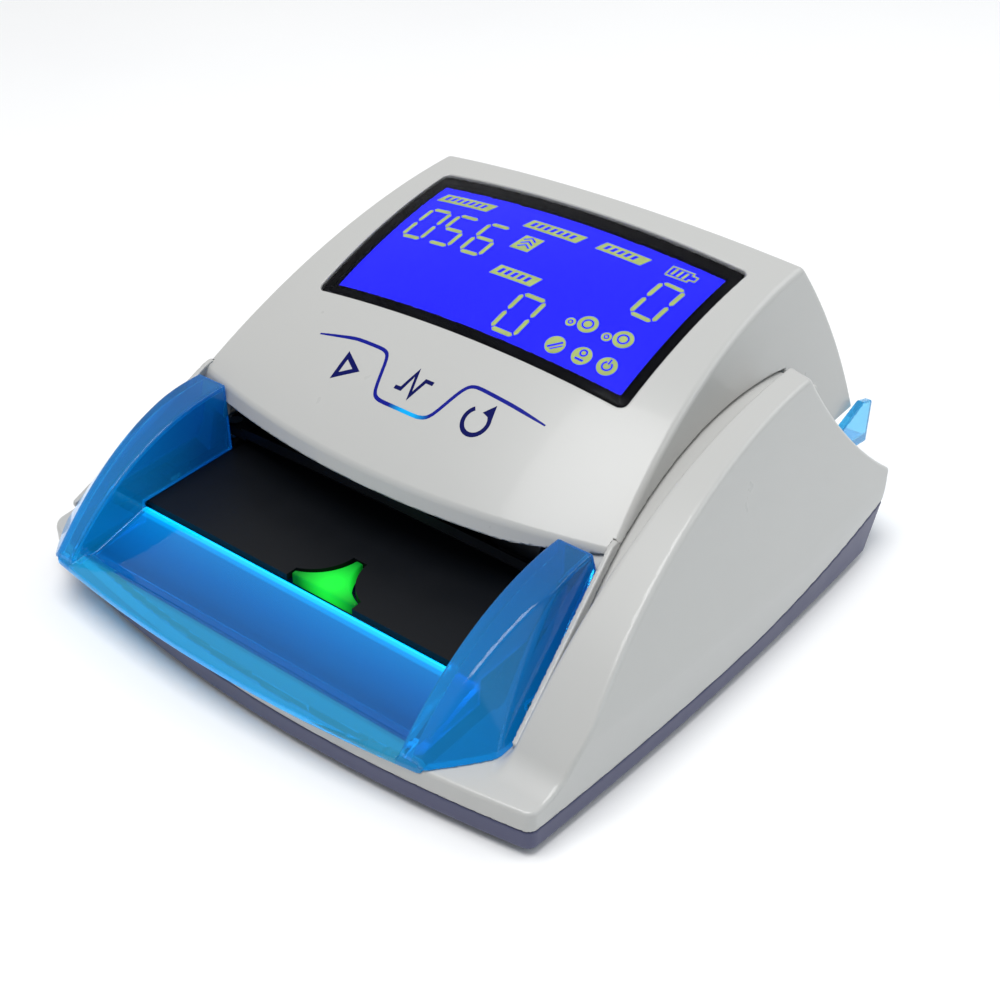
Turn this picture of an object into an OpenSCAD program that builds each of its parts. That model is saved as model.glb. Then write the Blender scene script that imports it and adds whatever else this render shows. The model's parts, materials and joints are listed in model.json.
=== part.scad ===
// Counterfeit bill detector for a shop counter. Millimetres, +Z up, the notes travel from -Y to +Y.
// The right side (+X) carries a raised wing with the drive and the battery. The left side is a plain wall.

/* [Body] */
// Wall thickness of the plastic shells
wall = 2; // [1.8:0.1:2.2]
// Height of the rubber feet under the base
foot_h = 1.5; // [1.2:0.1:2]
// Lean of the right side from upright, in degrees
side_lean = 16; // [15.6:0.1:16.4]
// Height of the flat shelf at the front of the lower body
shelf_z = 9; // [8.8:0.1:9.4]
// Radius of the wing's ridge, seen from the side
ridge_r = 115; // [113:0.5:116]

/* [Hood] */
// Radius of the hood's top from front to back
dome_r = 150; // [149:0.5:151]
// Radius of the hood's crown from side to side
crown_r = 333; // [300:1:380]
// Gap between the hood's foot and the lower body
hood_gap = 0.5; // [0.4:0.1:0.8]

/* [Note path] */
// Half of the width between the two guide walls
path_half = 44.2; // [43.8:0.1:44.4]
// Height of the note deck's upper face
deck_z = 13.5; // [13.4:0.1:13.6]
// Gap between the deck and the upper guide
path_gap = 1.7; // [1.5:0.1:2]

/* [Drive] */
// Radius of the two drive shafts
shaft_r = 1.5; // [1.4:0.05:1.55]
// Radius of the rubber drive rollers
roller_r = 4.6; // [4.5:0.05:4.7]
// Radius of the idler rollers in the hood
idler_r = 4; // [3.9:0.05:4]

/* [Display] */
// Half width of the display lens
lens_half = 40; // [39:0.5:40.5]
// Half width of the lit display area
lcd_half = 36.4; // [35:0.2:36.6]

/* [Power inlet] */
// Bore radius of the low-voltage power inlet
jack_r = 2.75; // [2.5:0.05:2.9]
// Depth of the power inlet's bore
jack_depth = 6.6; // [6:0.1:6.6]

/* [Hidden] */

SMOOTH = 96;
ARC = 720;
EPS = 0.01;
FIT = 0.02;

// Overall box before it is centred: x, y
x_left = -62;
x_right = 75.5;
y_front = -71.6;
y_back = 76;
mid_x = (x_left + x_right) / 2;
mid_y = (y_front + y_back) / 2;

// Large arcs of the lower body's plan: radius and centre
front_r = 309;
front_c = [15, 239.7];
right_r = 950;
right_y = 30;
left_r = 1200;
left_y = 5;
rear_r = 152;
rear_c = [6.5, -81];
pan_rear_r = 175.5;
pan_rear_y = -138.7;
pan_rear_lean = 30;
lean_x = 75.5;
lean_y = 15;
lean_z = 14;

// Upper edge of the dark base pan: level at the front, rising along an arc towards the rear
strip_z = 4.5;
strip_y = -10;
strip_r = 341;
exit_y = 58.1;
exit_cut_z = 7.4;
exit_cut_x = 60.4;

// Wing on the right side
wing_x = 60;
ridge_y = 28;
ridge_z = -67.4;
valley_r = ridge_r - 9;
valley_end = 46.2;
bay_x = 49.5;
ledge_z = 12;
ledge_x = -57;
rear_shelf_z = 15;
scoop_r = 28.9;
scoop_p = [55.9, 76.7, 30];
scoop_turn = 127.7;
scoop_dip = 50;
scoop_z = 12.4;

// Hood
dome_y = 62;
dome_z = -92.3;
side_top_x = 47.5;
side_top_z = 54.4;
side_slope = 0.285;
rear_face_r = 80;
rear_face_y = -8.6;
rear_face_z = 12;
lip_r = 187;
lip_y = -26.4;
lip_z = 25.8;
tongue_t = 1.2;
hinge_y = 66;
hinge_z = 20;
ear_r = 4;

// Fins of the inlet tray
fin_r = 60;
fin_y = -23;
fin_z = -29.8;
flank_r = 85.6;
flank_y = -17.65;
flank_n = -25.54;
flank_turn = 50;
fin_t = 1.8;
fin_end = -21.2;

// Gear train: module and teeth
gear_m = 0.5;
shaft_teeth = 20;
small_teeth = 12;
large_teeth = 36;
pinion_teeth = 10;

// Drive train places: y, z
front_y = -12;
rear_y = 40;
axle_z = 9.3;
idler_z = 18.2;
roller_x = [-30, 0, 30];
roller_len = 12;
mesh_gap = 0.08;
lower_turn = 145;
upper_turn = 175;
lower_centres = (shaft_teeth + small_teeth) * gear_m / 2 + mesh_gap;
upper_centres = (large_teeth + pinion_teeth) * gear_m / 2 + mesh_gap;
red_y = rear_y + lower_centres * cos(lower_turn);
red_z = axle_z + lower_centres * sin(lower_turn);
pin_y = red_y + upper_centres * cos(upper_turn);
pin_z = red_z + upper_centres * sin(upper_turn);
guide_z = deck_z + path_gap;
post_r = 3;
post_spots = [[-38, -36], [38, -36], [-38, 52], [38, 52]];
guide_spots = [[-40.2, -1], [40.2, -1], [-40.2, 53], [40.2, 53]];
bracket_x = 47.7;
jack_y = 45.8;
jack_clear = 3.6;
jack_z = 6.6;
jack_x = -60.8;
catch_y = -16.5;
catch_x = 47.6;
battery_y = -20.6;
cell_pitch = 11.2;
lens_y = [5, 49.2];
lcd_y = [10, 45];
tongue_line = [[-18, 30.6], [-54, 11.5]];

// ---------- helpers ----------

module place() {
    translate([-mid_x, -mid_y, foot_h])
        children();
}

// Extrudes a (y, z) outline from x0 to x1
module along_x(x0, x1) {
    translate([x0, 0, 0])
        rotate([90, 0, 90])
            linear_extrude(x1 - x0)
                children();
}

// Extrudes an (x, z) outline from y0 to y1
module along_y(y0, y1) {
    translate([0, y1, 0])
        rotate([90, 0, 0])
            linear_extrude(y1 - y0)
                children();
}

module rod(x0, x1, y, z, r, sides = SMOOTH) {
    translate([x0, y, z])
        rotate([0, 90, 0])
            cylinder(r = r, h = x1 - x0, $fn = sides);
}

module post(x, y, z0, z1, r) {
    translate([x, y, z0])
        cylinder(r = r, h = z1 - z0, $fn = SMOOTH);
}

module block(x, y, z) {
    translate([x[0], y[0], z[0]])
        cube([x[1] - x[0], y[1] - y[0], z[1] - z[0]]);
}

module both_sides() {
    children();
    mirror([1, 0, 0])
        children();
}

// Flat band of a given width along a list of (x, y) points
function unit(a, b) = (b - a) / norm(b - a);
function side_of(v) = [-v[1], v[0]];
function bend(p, i) =
    let (a = i > 0 ? unit(p[i - 1], p[i]) : unit(p[i], p[i + 1]))
    let (b = i < len(p) - 1 ? unit(p[i], p[i + 1]) : a)
    let (m = side_of(a) + side_of(b))
    m / (m * m) * 2;
module band(p, w) {
    n = len(p) - 1;
    polygon(concat(
        [for (i = [0:n]) p[i] + bend(p, i) * w / 2],
        [for (i = [n:-1:0]) p[i] - bend(p, i) * w / 2]
    ));
}

// ---------- lower body ----------

module plan_front_left(inset) {
    intersection() {
        translate([front_c[0], front_c[1], -5])
            cylinder(r = front_r - inset, h = 90, $fn = ARC);
        translate([x_left + left_r, left_y, -5])
            cylinder(r = left_r - inset, h = 90, $fn = ARC);
    }
}

module plan_right(inset) {
    intersection() {
        translate([x_right - right_r, right_y, -5])
            cylinder(r = right_r - inset, h = 90, $fn = ARC);
        translate([lean_x, lean_y, lean_z])
            rotate([0, -side_lean, 0])
                translate([-right_r, 0, -40])
                    cylinder(r = right_r - inset, h = 120, $fn = ARC);
    }
}

module below_strip() {
    along_x(x_left - 5, x_right + 5) {
        translate([-80, -10])
            square([80 + strip_y, strip_z + 10]);
        difference() {
            translate([strip_y - EPS, -10])
                square([100, 40]);
            translate([strip_y, strip_z + strip_r])
                circle(r = strip_r, $fn = 2 * ARC);
        }
    }
}

module pan_solid(inset) {
    intersection() {
        plan_front_left(inset);
        plan_right(inset);
        leaning_rear(inset);
    }
}

module pan_form() {
    difference() {
        intersection() {
            pan_solid(0);
            below_strip();
            block([-80, 80], [-80, 90], [0, 30]);
        }
        intersection() {
            pan_solid(wall);
            block([-80, 80], [-80, 90], [wall, 40]);
        }
        block([-exit_cut_x, exit_cut_x], [46, 90], [exit_cut_z, 40]);
    }
}

// Concave cut behind the wing's peak
module scoop(inset) {
    intersection() {
        translate(scoop_p)
            rotate([0, 90 + scoop_dip, scoop_turn])
                cylinder(r = scoop_r + inset, h = 200, center = true, $fn = 360);
        block([0, 90], [0, 120], [scoop_z - inset, 90]);
    }
}

module leaning_rear(inset) {
    translate([rear_c[0], pan_rear_y, 0])
        rotate([-pan_rear_lean, 0, 0])
            translate([0, 0, -150])
                cylinder(r = pan_rear_r - inset, h = 300, $fn = ARC);
}

// Rear limit of the lower body: upright between the walls, leaning with the base pan beside the wing
module body_rear(inset) {
    intersection() {
        translate([rear_c[0], rear_c[1], -5])
            cylinder(r = rear_r - inset, h = 90, $fn = ARC);
        block([-90, exit_cut_x], [-100, 90], [-10, 90]);
    }
    intersection() {
        leaning_rear(inset);
        block([exit_cut_x - EPS, 90], [-100, 90], [-10, 90]);
    }
}

// Volume under the lower body's outer skin, shrunk by an inset
module lower_volume(inset) {
    intersection() {
        plan_front_left(inset);
        plan_right(inset);
        body_rear(inset);
        union() {
            block([-80, 80], [-80, 80], [-5, shelf_z - inset]);
            block([-80, -52 - inset], [-46 + inset, 80], [-5, ledge_z - inset]);
            difference() {
                intersection() {
                    block([bay_x + inset, wing_x + inset + EPS], [-60, valley_end - inset], [-5, 80]);
                    rod(40, 90, ridge_y, ridge_z, valley_r - inset, ARC);
                }
                if (inset > 0)
                    scoop(inset);
            }
            block(
                [bay_x + inset, wing_x + 1], [valley_end - 20, exit_y - 0.1 - inset],
                [-5, rear_shelf_z - inset]
            );
            difference() {
                intersection() {
                    block([wing_x + inset, 80], [-80, 80], [-5, 80]);
                    rod(40, 90, ridge_y, ridge_z, ridge_r - inset, ARC);
                }
                scoop(inset);
            }
        }
    }
}

module jack_cut() {
    rod(-66, -55, jack_y, jack_z, jack_clear);
}

// Square notch in the lower edge of the wall, over the power inlet
module jack_notch() {
    block([-66, -55], [jack_y - jack_clear, jack_y + jack_clear], [0, jack_z + jack_clear]);
}

module base_pan() {
    color("#4a4f78")
        place()
            difference() {
                union() {
                    pan_form();
                    for (s = post_spots)
                        post(s[0], s[1], wall - EPS, 4.8, 3.6);
                    for (x = [-34, 34], y = [0, 28])
                        post(x, y, wall - EPS, 4, 2.5);
                    post(59.2, 18.4, wall - EPS, 6, 2.6);
                }
                for (s = post_spots) {
                    post(s[0], s[1], -1, 10, 1.4);
                    post(s[0], s[1], -1, 1.2, 2.6);
                }
                block([53.5, 65], [-20.9, 13.6], [-1, 5]);
                block([51.8, 66.7], [-28.2, 21.6], [-1, 1.2]);
                post(59.2, 18.4, -1, 7, 1.15);
                jack_cut();
                block([-66, -59], [-35.2, -25.8], [4.2, 9.4]);
            }
}

module rubber_feet() {
    color("#303238")
        place()
            for (s = [[-50, -48], [-50, 44], [62, -48], [62, 42]])
                post(s[0], s[1], -foot_h, 0, 5);
}

module base_screws() {
    color("silver")
        place()
            for (s = post_spots) {
                post(s[0], s[1], 0.2, 1.2, 2.3);
                post(s[0], s[1], 1.2 - EPS, 11, 1.2);
            }
}

module battery_cover() {
    color("#4a4f78")
        place()
            difference() {
                block([52, 66.5], [-28, 21.4], [0.1, 1.15]);
                post(59.2, 18.4, -1, 7, 1.3);
                for (i = [0:4])
                    block([55, 63.5], [-22 + i * 3, -20.6 + i * 3], [-1, 0.5]);
            }
}

module battery_cover_screw() {
    color("silver")
        place() {
            post(59.2, 18.4, -0.9, 0.1, 2);
            post(59.2, 18.4, 0.1 - EPS, 5.4, 1.1);
        }
}

module battery_pack() {
    color("#3a6ea5")
        place()
            difference() {
                block([52.6, 65.8], [battery_y, battery_y + 3 * cell_pitch], [3, 20]);
                for (i = [1:2])
                    translate([0, battery_y + i * cell_pitch, 0])
                        block([52, 67], [-0.25, 0.25], [19.2, 21]);
            }
}

module body_shell() {
    color("#e6e6e4")
        place()
            difference() {
                intersection() {
                    lower_volume(0);
                    block([-90, 90], [-90, 90], [wall, 90]);
                }
                lower_volume(wall);
                below_strip();
                intersection() {
                    plan_front_left(wall);
                    block([-49, 49], [-80, 90], [shelf_z - wall - 1, 60]);
                }
                block([-49, 49], [-90, -55], [8, 60]);
                block([ledge_x, bay_x], [-47, 90], [6.9, 60]);
                block([-exit_cut_x, exit_cut_x], [exit_y, 90], [2, 60]);
                block([ledge_x, bay_x], [54, 90], [2, 60]);
                rod(48, 53, rear_y, axle_z, 2.4);
                jack_notch();
                block([-66, -59], [-35.2, -25.8], [4.2, 9.4]);
                block([-66, -59], [-6, 6], [6.4, 10]);
            }
}

// ---------- trays ----------

module fin_volume(inset, side) {
    intersection() {
        rod(30, 80, fin_y, fin_z, fin_r - inset, 2 * SMOOTH);
        translate([0, flank_y, 0])
            rotate([0, flank_turn, 0])
                translate([0, 0, flank_n])
                    rotate([0, 90, 0])
                        cylinder(r = flank_r - inset, h = 300, center = true, $fn = 2 * SMOOTH);
        hood_sides(wall + 0.1 + inset);
        block([path_half + inset, 70], [-67.5 + inset, fin_end + inset * 2], [side, 60]);
    }
}

module fin() {
    difference() {
        union() {
            intersection() {
                fin_volume(0, 8);
                block([0, 80], [-80, -47], [8, 60]);
            }
            fin_volume(0, 13.7);
        }
        fin_volume(fin_t, -5);
        block([49, 80], [-80, 0], [-5, shelf_z + 0.15]);
    }
}

module inlet_tray() {
    color("#1f8fd0")
        place() {
            difference() {
                both_sides()
                    fin();
                rod(49, 80, ridge_y, ridge_z, valley_r + 0.15, ARC);
                block([-80, ledge_x + 0.2], [-46.2, 0], [0, ledge_z + 0.15]);
            }
            intersection() {
                along_x(-path_half - EPS, path_half + EPS)
                    polygon([
                        [-75, 8], [-63.6, 8], [-60, 7.4], [-46.6, 10.9], [-46.6, 12.5],
                        [-47.8, 12.5], [-61.6, 9.1], [-63, 9.1], [-63.4, 9.9], [-75, 9.7]
                    ]);
                translate([0, y_front + 322, 0])
                    cylinder(r = 322, h = 20, $fn = ARC);
            }
            intersection() {
                block([-48.6, 48.6], [-75, -66], [8, 9.7]);
                translate([0, y_front + 322, 0])
                    cylinder(r = 322, h = 20, $fn = ARC);
            }
        }
}

module exit_tray() {
    color("#2a97d6")
        place()
            difference() {
                union() {
                    along_x(-58.2, 58.2)
                        polygon([[60.6, 12], [76, 9.2], [76, 7.6], [60.6, 10.4]]);
                    both_sides()
                        along_x(58.2 - EPS, 60)
                            polygon([
                                [exit_y + 0.3, 10.9], [exit_y + 0.3, 16], [71.5, 20], [76, 18.4], [76, 7.6]
                            ]);
                    intersection() {
                        difference() {
                            pan_solid(0.2);
                            pan_solid(wall);
                        }
                        along_x(-60, 60)
                            polygon([
                                [exit_y + 0.3, exit_cut_z + 0.05], [76, exit_cut_z + 0.05], [76, 8], [60.6, 11],
                                [exit_y + 0.3, 11.6]
                            ]);
                    }
                }
                both_sides()
                    block([bracket_x - 0.4, bracket_x + 1.9], [50, 70.6], [0, 25]);
            }
}

// ---------- note path ----------

module light_outline(grow) {
    intersection() {
        translate([5, -40])
            square([17 + grow, 12 + grow], center = true);
        difference() {
            translate([5, -43.5])
                circle(r = 10.5 + grow / 2, $fn = SMOOTH);
            for (s = [-1, 1])
                translate([5 + s * 12.6, -33.2])
                    circle(r = 11 - grow / 2, $fn = SMOOTH);
        }
    }
}

module note_deck() {
    color("#15171c")
        place()
            difference() {
                union() {
                    block([-45.5, 45.5], [-46, 60], [deck_z - 1.5, deck_z]);
                    both_sides() {
                        block([path_half, 45.5], [-20.4, 60], [deck_z - EPS, 15]);
                        block([45.4, 49.3], [catch_y - 2.6, catch_y + 2.6], [12.2, deck_z]);
                    }
                    for (s = post_spots)
                        post(s[0], s[1], 5, deck_z - 1, post_r);
                    for (x = [-38.5, 38.5], y = [9, 23])
                        post(x, y, 10.85, 12.1, 1.6);
                }
                for (x = roller_x, y = [front_y, rear_y])
                    block([x - 7, x + 7], [y - 4.5, y + 4.5], [10, 20]);
                for (s = post_spots)
                    post(s[0], s[1], 4, 12.2, 1.25);
                block([-36.8, 36.8], [9.7, 22.3], [11, 20]);
                translate([0, 0, 11])
                    linear_extrude(5)
                        light_outline(0.4);
                both_sides()
                    post(catch_x, catch_y, 12.8, 15, 1.75);
            }
}

module inlet_light() {
    color("#28e05a")
        place() {
            translate([0, 0, 11.4])
                linear_extrude(deck_z - 11.4)
                    light_outline(0);
            block([-6, 16], [-45.6, -36], [10, 11.4 + EPS]);
        }
}

module lower_sensor_window() {
    color("#26313a")
        place()
            block([-36.5, 36.5], [10, 22], [12, deck_z - 0.1]);
}

module lower_sensor_board() {
    color("#1d6b3c")
        place() {
            block([-41, 41], [7, 25], [9.6, 10.8]);
            block([-35, 35], [12, 20], [10.8 - EPS, 11.9]);
        }
}

module main_board() {
    color("#1d6b3c")
        place() {
            block([-38, 38], [-3, 32], [4, 5.2]);
            block([-14, -4], [6, 16], [5.2 - EPS, 6.6]);
            block([2, 9], [2, 9], [5.2 - EPS, 6.4]);
            block([14, 26], [18, 28], [5.2 - EPS, 8.6]);
            block([-34, -28], [10, 26], [5.2 - EPS, 9.2]);
            for (i = [0:3])
                post(-20 + i * 6, 27, 5.2 - EPS, 8.2, 1.8);
        }
}

module buzzer() {
    color("#202020")
        place()
            difference() {
                post(-22, 3, 5.25, 9, 4.5);
                post(-22, 3, 8.2, 10, 0.9);
            }
}

module side_plate(bush_hole) {
    difference() {
        union() {
            along_x(46, 47.2)
                polygon([
                    [front_y - 6, wall], [48, wall], [48, 9], [45, 12.1], [34, 12.1], [30, 8],
                    [-4, 8], [-8, 12.1], [front_y - 6, 12.1]
                ]);
            block([42, 46 + EPS], [-2, 34], [wall, wall + 1.2]);
        }
        for (y = [front_y, rear_y])
            rod(45, 48, y, axle_z, bush_hole);
    }
}

module side_frame_left() {
    color("#b8bcc2")
        place()
            mirror([1, 0, 0])
                side_plate(2.6 + FIT);
}

module side_frame_right() {
    color("#b8bcc2")
        place()
            side_plate(2.6 + FIT);
}

module shaft_bushes() {
    color("#b08d3c")
        place()
            both_sides()
                for (y = [front_y, rear_y])
                    difference() {
                        union() {
                            rod(45.9, 47.2 + EPS, y, axle_z, 2.6);
                            rod(47.2, 48, y, axle_z, 2.8);
                        }
                        rod(45, 49, y, axle_z, shaft_r + 0.05);
                    }
}

module strike_plates() {
    color("#9aa0a6")
        place()
            both_sides()
                post(catch_x, catch_y, 12.82, 13.42, 1.7);
}

// ---------- drive ----------

module gear_outline(teeth, phase) {
    pitch = teeth * gear_m / 2;
    root = pitch - 1.2 * gear_m;
    tip = pitch + 0.85 * gear_m;
    flank = PI * gear_m / 2 - 0.14;
    rotate(phase) {
        circle(r = root, $fn = SMOOTH);
        for (i = [0:teeth - 1])
            rotate(i * 360 / teeth)
                polygon([
                    [root - 0.2, -flank * 0.68], [pitch, -flank / 2], [tip, -flank * 0.24],
                    [tip, flank * 0.24], [pitch, flank / 2], [root - 0.2, flank * 0.68]
                ]);
    }
}

module wheel(x0, x1, y, z, teeth, phase, bore) {
    translate([0, y, z])
        along_x(x0, x1)
            difference() {
                gear_outline(teeth, phase);
                circle(r = bore, $fn = SMOOTH);
            }
}

module drive_gear() {
    color("#e8e2cf")
        place()
            wheel(51.8, 54.2, rear_y, axle_z, shaft_teeth, lower_turn, shaft_r + FIT);
}

module reduction_gear() {
    color("#e8e2cf")
        place() {
            wheel(51.8, 54.4 + EPS, red_y, red_z, small_teeth, lower_turn + 180 + 180 / small_teeth, 1.05);
            wheel(54.4, 56.6, red_y, red_z, large_teeth, upper_turn, 1.05);
        }
}

module motor_pinion() {
    color("#c9a94e")
        place() {
            wheel(54.5, 56.7, pin_y, pin_z, pinion_teeth, upper_turn + 180 + 180 / pinion_teeth, 0.3);
            rod(54.5, 61, pin_y, pin_z, 0.75);
        }
}

module drive_motor() {
    color("#a9adb3")
        place()
            difference() {
                union() {
                    rod(58.3, 67.6, pin_y, pin_z, 7.75);
                    rod(67.6 - EPS, 68.4, pin_y, pin_z, 2.5);
                }
                rod(58, 61.4, pin_y, pin_z, 0.8);
            }
}

module motor_bracket() {
    color("#b8bcc2")
        place()
            difference() {
                union() {
                    along_x(57.1, 58.3)
                        polygon([[22, wall], [41, wall], [41, 19], [33, 23.4], [15, 23.4], [14.6, 8], [22, 7]]);
                    block([58.3 - EPS, 63], [31, 40], [wall, wall + 1.2]);
                }
                rod(56, 59, pin_y, pin_z, 1.6);
                rod(56, 59, red_y, red_z, 1 + FIT);
                for (a = [0, 180])
                    rod(56, 59, pin_y + 5 * cos(a), pin_z + 5 * sin(a), 0.7);
            }
}

module reduction_stud() {
    color("#8f959c")
        place() {
            rod(51.5, 58.2, red_y, red_z, 1);
            rod(51.5, 51.7, red_y, red_z, 1.9);
        }
}

module drive_shaft(x1, y) {
    rod(-53.6, x1, y, axle_z, shaft_r);
}

module roller_set(y, z, r, bore) {
    for (x = roller_x)
        difference() {
            rod(x - roller_len / 2, x + roller_len / 2, y, z, r);
            rod(x - roller_len, x + roller_len, y, z, bore);
        }
}

module pulley(y) {
    difference() {
        union() {
            rod(-53.2, -49.8, y, axle_z, 3.6);
            rod(-53.2, -52.5, y, axle_z, 4.7);
            rod(-50.5, -49.8, y, axle_z, 4.7);
        }
        rod(-55, -48, y, axle_z, shaft_r + FIT);
    }
}

module rear_shaft() {
    color("#c8ccd0")
        place()
            drive_shaft(54.25, rear_y);
}

module front_shaft() {
    color("#c8ccd0")
        place()
            drive_shaft(48.6, front_y);
}

module rear_rollers() {
    color("#2b2d31")
        place()
            roller_set(rear_y, axle_z, roller_r, shaft_r + FIT);
}

module front_rollers() {
    color("#2b2d31")
        place()
            roller_set(front_y, axle_z, roller_r, shaft_r + FIT);
}

module rear_pulley() {
    color("#e8e2cf")
        place()
            pulley(rear_y);
}

module front_pulley() {
    color("#e8e2cf")
        place()
            pulley(front_y);
}

module racetrack(r) {
    for (y = [front_y, rear_y])
        translate([y, axle_z])
            circle(r = r, $fn = SMOOTH);
    translate([front_y, axle_z - r])
        square([rear_y - front_y, 2 * r]);
}

module drive_belt() {
    color("#1b1b1d")
        place()
            along_x(-52.4, -50.6)
                difference() {
                    racetrack(4.45);
                    racetrack(3.65);
                }
}

// ---------- connectors and hinge on the base ----------

module hinge_plate() {
    difference() {
        along_x(bracket_x, bracket_x + 1.4) {
            translate([hinge_y, hinge_z])
                circle(r = 2.8, $fn = SMOOTH);
            polygon([
                [44, wall], [51.2, wall], [54.2, 7], [60, 12.4], [66.5, 17.4], [64, 21.8], [55, 15], [44, 6.5]
            ]);
        }
        rod(40, 60, hinge_y, hinge_z, 1.5 + FIT);
    }
    block([bracket_x + 1.3, 53], [44, 48.6], [wall, wall + 1]);
}

module hinge_brackets() {
    color("#9aa0a6")
        place()
            both_sides()
                hinge_plate();
}

module hinge_pins() {
    color("#c8ccd0")
        place()
            both_sides() {
                rod(47, 52.2, hinge_y, hinge_z, 1.5);
                rod(46.4, 47.4, hinge_y, hinge_z, 2.4);
            }
}

module power_inlet() {
    color("#1b1b1d")
        place()
            difference() {
                union() {
                    rod(jack_x, -58, jack_y, jack_z, 3.5);
                    block([-58.5, -53.6], [jack_y - 3.4, jack_y + 3.4], [3.2, 9.9]);
                }
                rod(-62, jack_x + jack_depth, jack_y, jack_z, jack_r);
            }
}

module data_port() {
    color("#8f959c")
        place()
            difference() {
                block([-60.2, -54.6], [-35, -26], [4.4, 9.2]);
                block([-62, -55.6], [-34.2, -26.8], [5.2, 8.4]);
                block([-62, -50], [-32, -29], [5.9, 7.7]);
            }
}

module switch_body() {
    color("#1b1b1d")
        place()
            difference() {
                block([-59.6, -55], [-7, 7], [5.4, 9.9]);
                block([-60.5, -57.4], [-4.4, 4.4], [7, 9.4]);
            }
}

module power_slider() {
    color("#d8d8d6")
        place() {
            block([-61.8, -60.1], [-4.2, 1.2], [6.8, 9.6]);
            block([-60.2, -57.8], [-2.7, -0.3], [7.3, 9.1]);
        }
}

module base_ribbon() {
    color("#b7bcc4")
        place()
            along_x(-20, -6)
                polygon([
                    [33.2, 5.4], [33.2, 4.2], [57.2, 3.2], [58.4, 4.2], [60, 9.9], [59.6, 9.95],
                    [57.9, 4.6], [57, 3.6], [33.9, 4.6], [33.9, 5.4]
                ]);
}

// ---------- hood ----------

module dome(inset) {
    translate([0, dome_y, dome_z])
        rotate([0, 90, 0])
            rotate_extrude($fn = ARC)
                intersection() {
                    translate([dome_r - crown_r, 0])
                        circle(r = crown_r - inset, $fn = 2 * ARC);
                    translate([60, -70])
                        square([100, 140]);
                }
}

function side_x(z) = side_top_x + side_slope * (side_top_z - z);

module hood_sides(inset) {
    off = inset * sqrt(1 + side_slope * side_slope);
    along_y(-90, 100)
        polygon([
            [-side_x(-10) + off, -10], [side_x(-10) - off, -10],
            [side_x(70) - off, 70], [-side_x(70) + off, 70]
        ]);
}

module behind_lip(inset) {
    translate([0, lip_y + lip_r, -5])
        cylinder(r = lip_r - inset, h = 90, $fn = ARC);
}

module hood_volume(inset) {
    intersection() {
        dome(inset);
        hood_sides(inset);
        rod(-90, 90, rear_face_y, rear_face_z, rear_face_r - inset, ARC);
        behind_lip(inset);
    }
}

// Space under the hood that its foot keeps clear of
module under_hood() {
    block([wing_x - 0.2, 90], [-90, valley_end], [-10, 20]);
    along_x(0, 90) {
        translate([-90, -10])
            square([90 + valley_end + 0.6, 19.5]);
        translate([valley_end, -10])
            square([60, 28.5]);
        intersection() {
            translate([ridge_y, ridge_z])
                circle(r = valley_r + hood_gap, $fn = 2 * ARC);
            translate([-90, 0])
                square([90 + valley_end + 0.6, 60]);
        }
    }
    along_x(-90, 0)
        polygon([
            [-90, -10], [100, -10], [100, 18.5], [56, 18.5], [50, ledge_z + hood_gap],
            [-46.5, ledge_z + hood_gap], [-46.5, 9.5], [-90, 9.5]
        ]);
}

module tongues() {
    intersection() {
        difference() {
            hood_sides(0);
            hood_sides(tongue_t);
        }
        along_x(-90, 90)
            polygon([
                tongue_line[0], tongue_line[1] - [0, 0.3], [-54, 5], [-16, 5], [-16, 31]
            ]);
    }
}

key_spots = [[-18.2, -10], [-1.2, -8.4], [15.8, -10]];
key_line = [
    [-30.5, -5.1], [-20.9, -3.8], [-12.9, -4.1], [-11.3, -5.2], [-8.6, -12.8], [-6.8, -13.8], [4.3, -13.9],
    [6.4, -12.8], [9.1, -5.3], [10.8, -4], [20.6, -4.4], [28.9, -5]
];

// Forward triangle, pulse and reset ring on the three keys
module symbol_outlines(grow) {
    translate(key_spots[0])
        difference() {
            circle(r = 3.7 + grow, $fn = 3);
            circle(r = 2.2 - grow, $fn = 3);
        }
    translate(key_spots[1])
        band([[-3.8, -1.8], [-2.3, -1.8], [-1, 2.2], [0.6, -2.4], [1.8, 1.4], [3.6, 1.4]], 0.8 + grow * 2);
    translate(key_spots[2])
        difference() {
            circle(r = 3.4 + grow, $fn = SMOOTH);
            circle(r = 2.5 - grow, $fn = SMOOTH);
            translate([2 + grow, -1])
                square([4, 2]);
        }
}

module hood_shell() {
    color("#ececea")
        place()
            difference() {
                union() {
                    difference() {
                        union() {
                            difference() {
                                hood_volume(0);
                                hood_volume(wall);
                            }
                            tongues();
                        }
                        under_hood();
                        block([-path_half - 0.3, path_half + 0.3], [-60, 0], [0, lip_z]);
                        both_sides()
                            block([44, 50], [-30, -12], [0, lip_z - 3.6]);
                    }
                    intersection() {
                        union() {
                            both_sides()
                                along_x(49.4, 51.4) {
                                    translate([hinge_y, hinge_z])
                                        circle(r = ear_r, $fn = SMOOTH);
                                    polygon([[62, 20], [70, 20], [67, 42], [56, 42]]);
                                }
                            for (s = guide_spots)
                                post(s[0], s[1], 27.9, 60, post_r);
                        }
                        hood_volume(wall / 2);
                    }
                }
                both_sides()
                    rod(40, 60, hinge_y, hinge_z, 1.5 + 0.06);
                for (s = guide_spots)
                    post(s[0], s[1], 20, 34.5, 1.05);
                block([-lens_half - 0.25, lens_half + 0.25], [lens_y[0] - 0.25, lens_y[1] + 0.25], [30, 70]);
                difference() {
                    translate([0, 0, 30])
                        linear_extrude(30)
                            band(key_line, 1.2);
                    dome(0.9);
                }
                difference() {
                    translate([0, 0, 30])
                        linear_extrude(30)
                            symbol_outlines(0.05);
                    dome(0.4);
                }
            }
}

module dome_plate(outer, inner) {
    difference() {
        intersection() {
            dome(outer);
            children();
        }
        dome(inner);
    }
}

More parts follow.
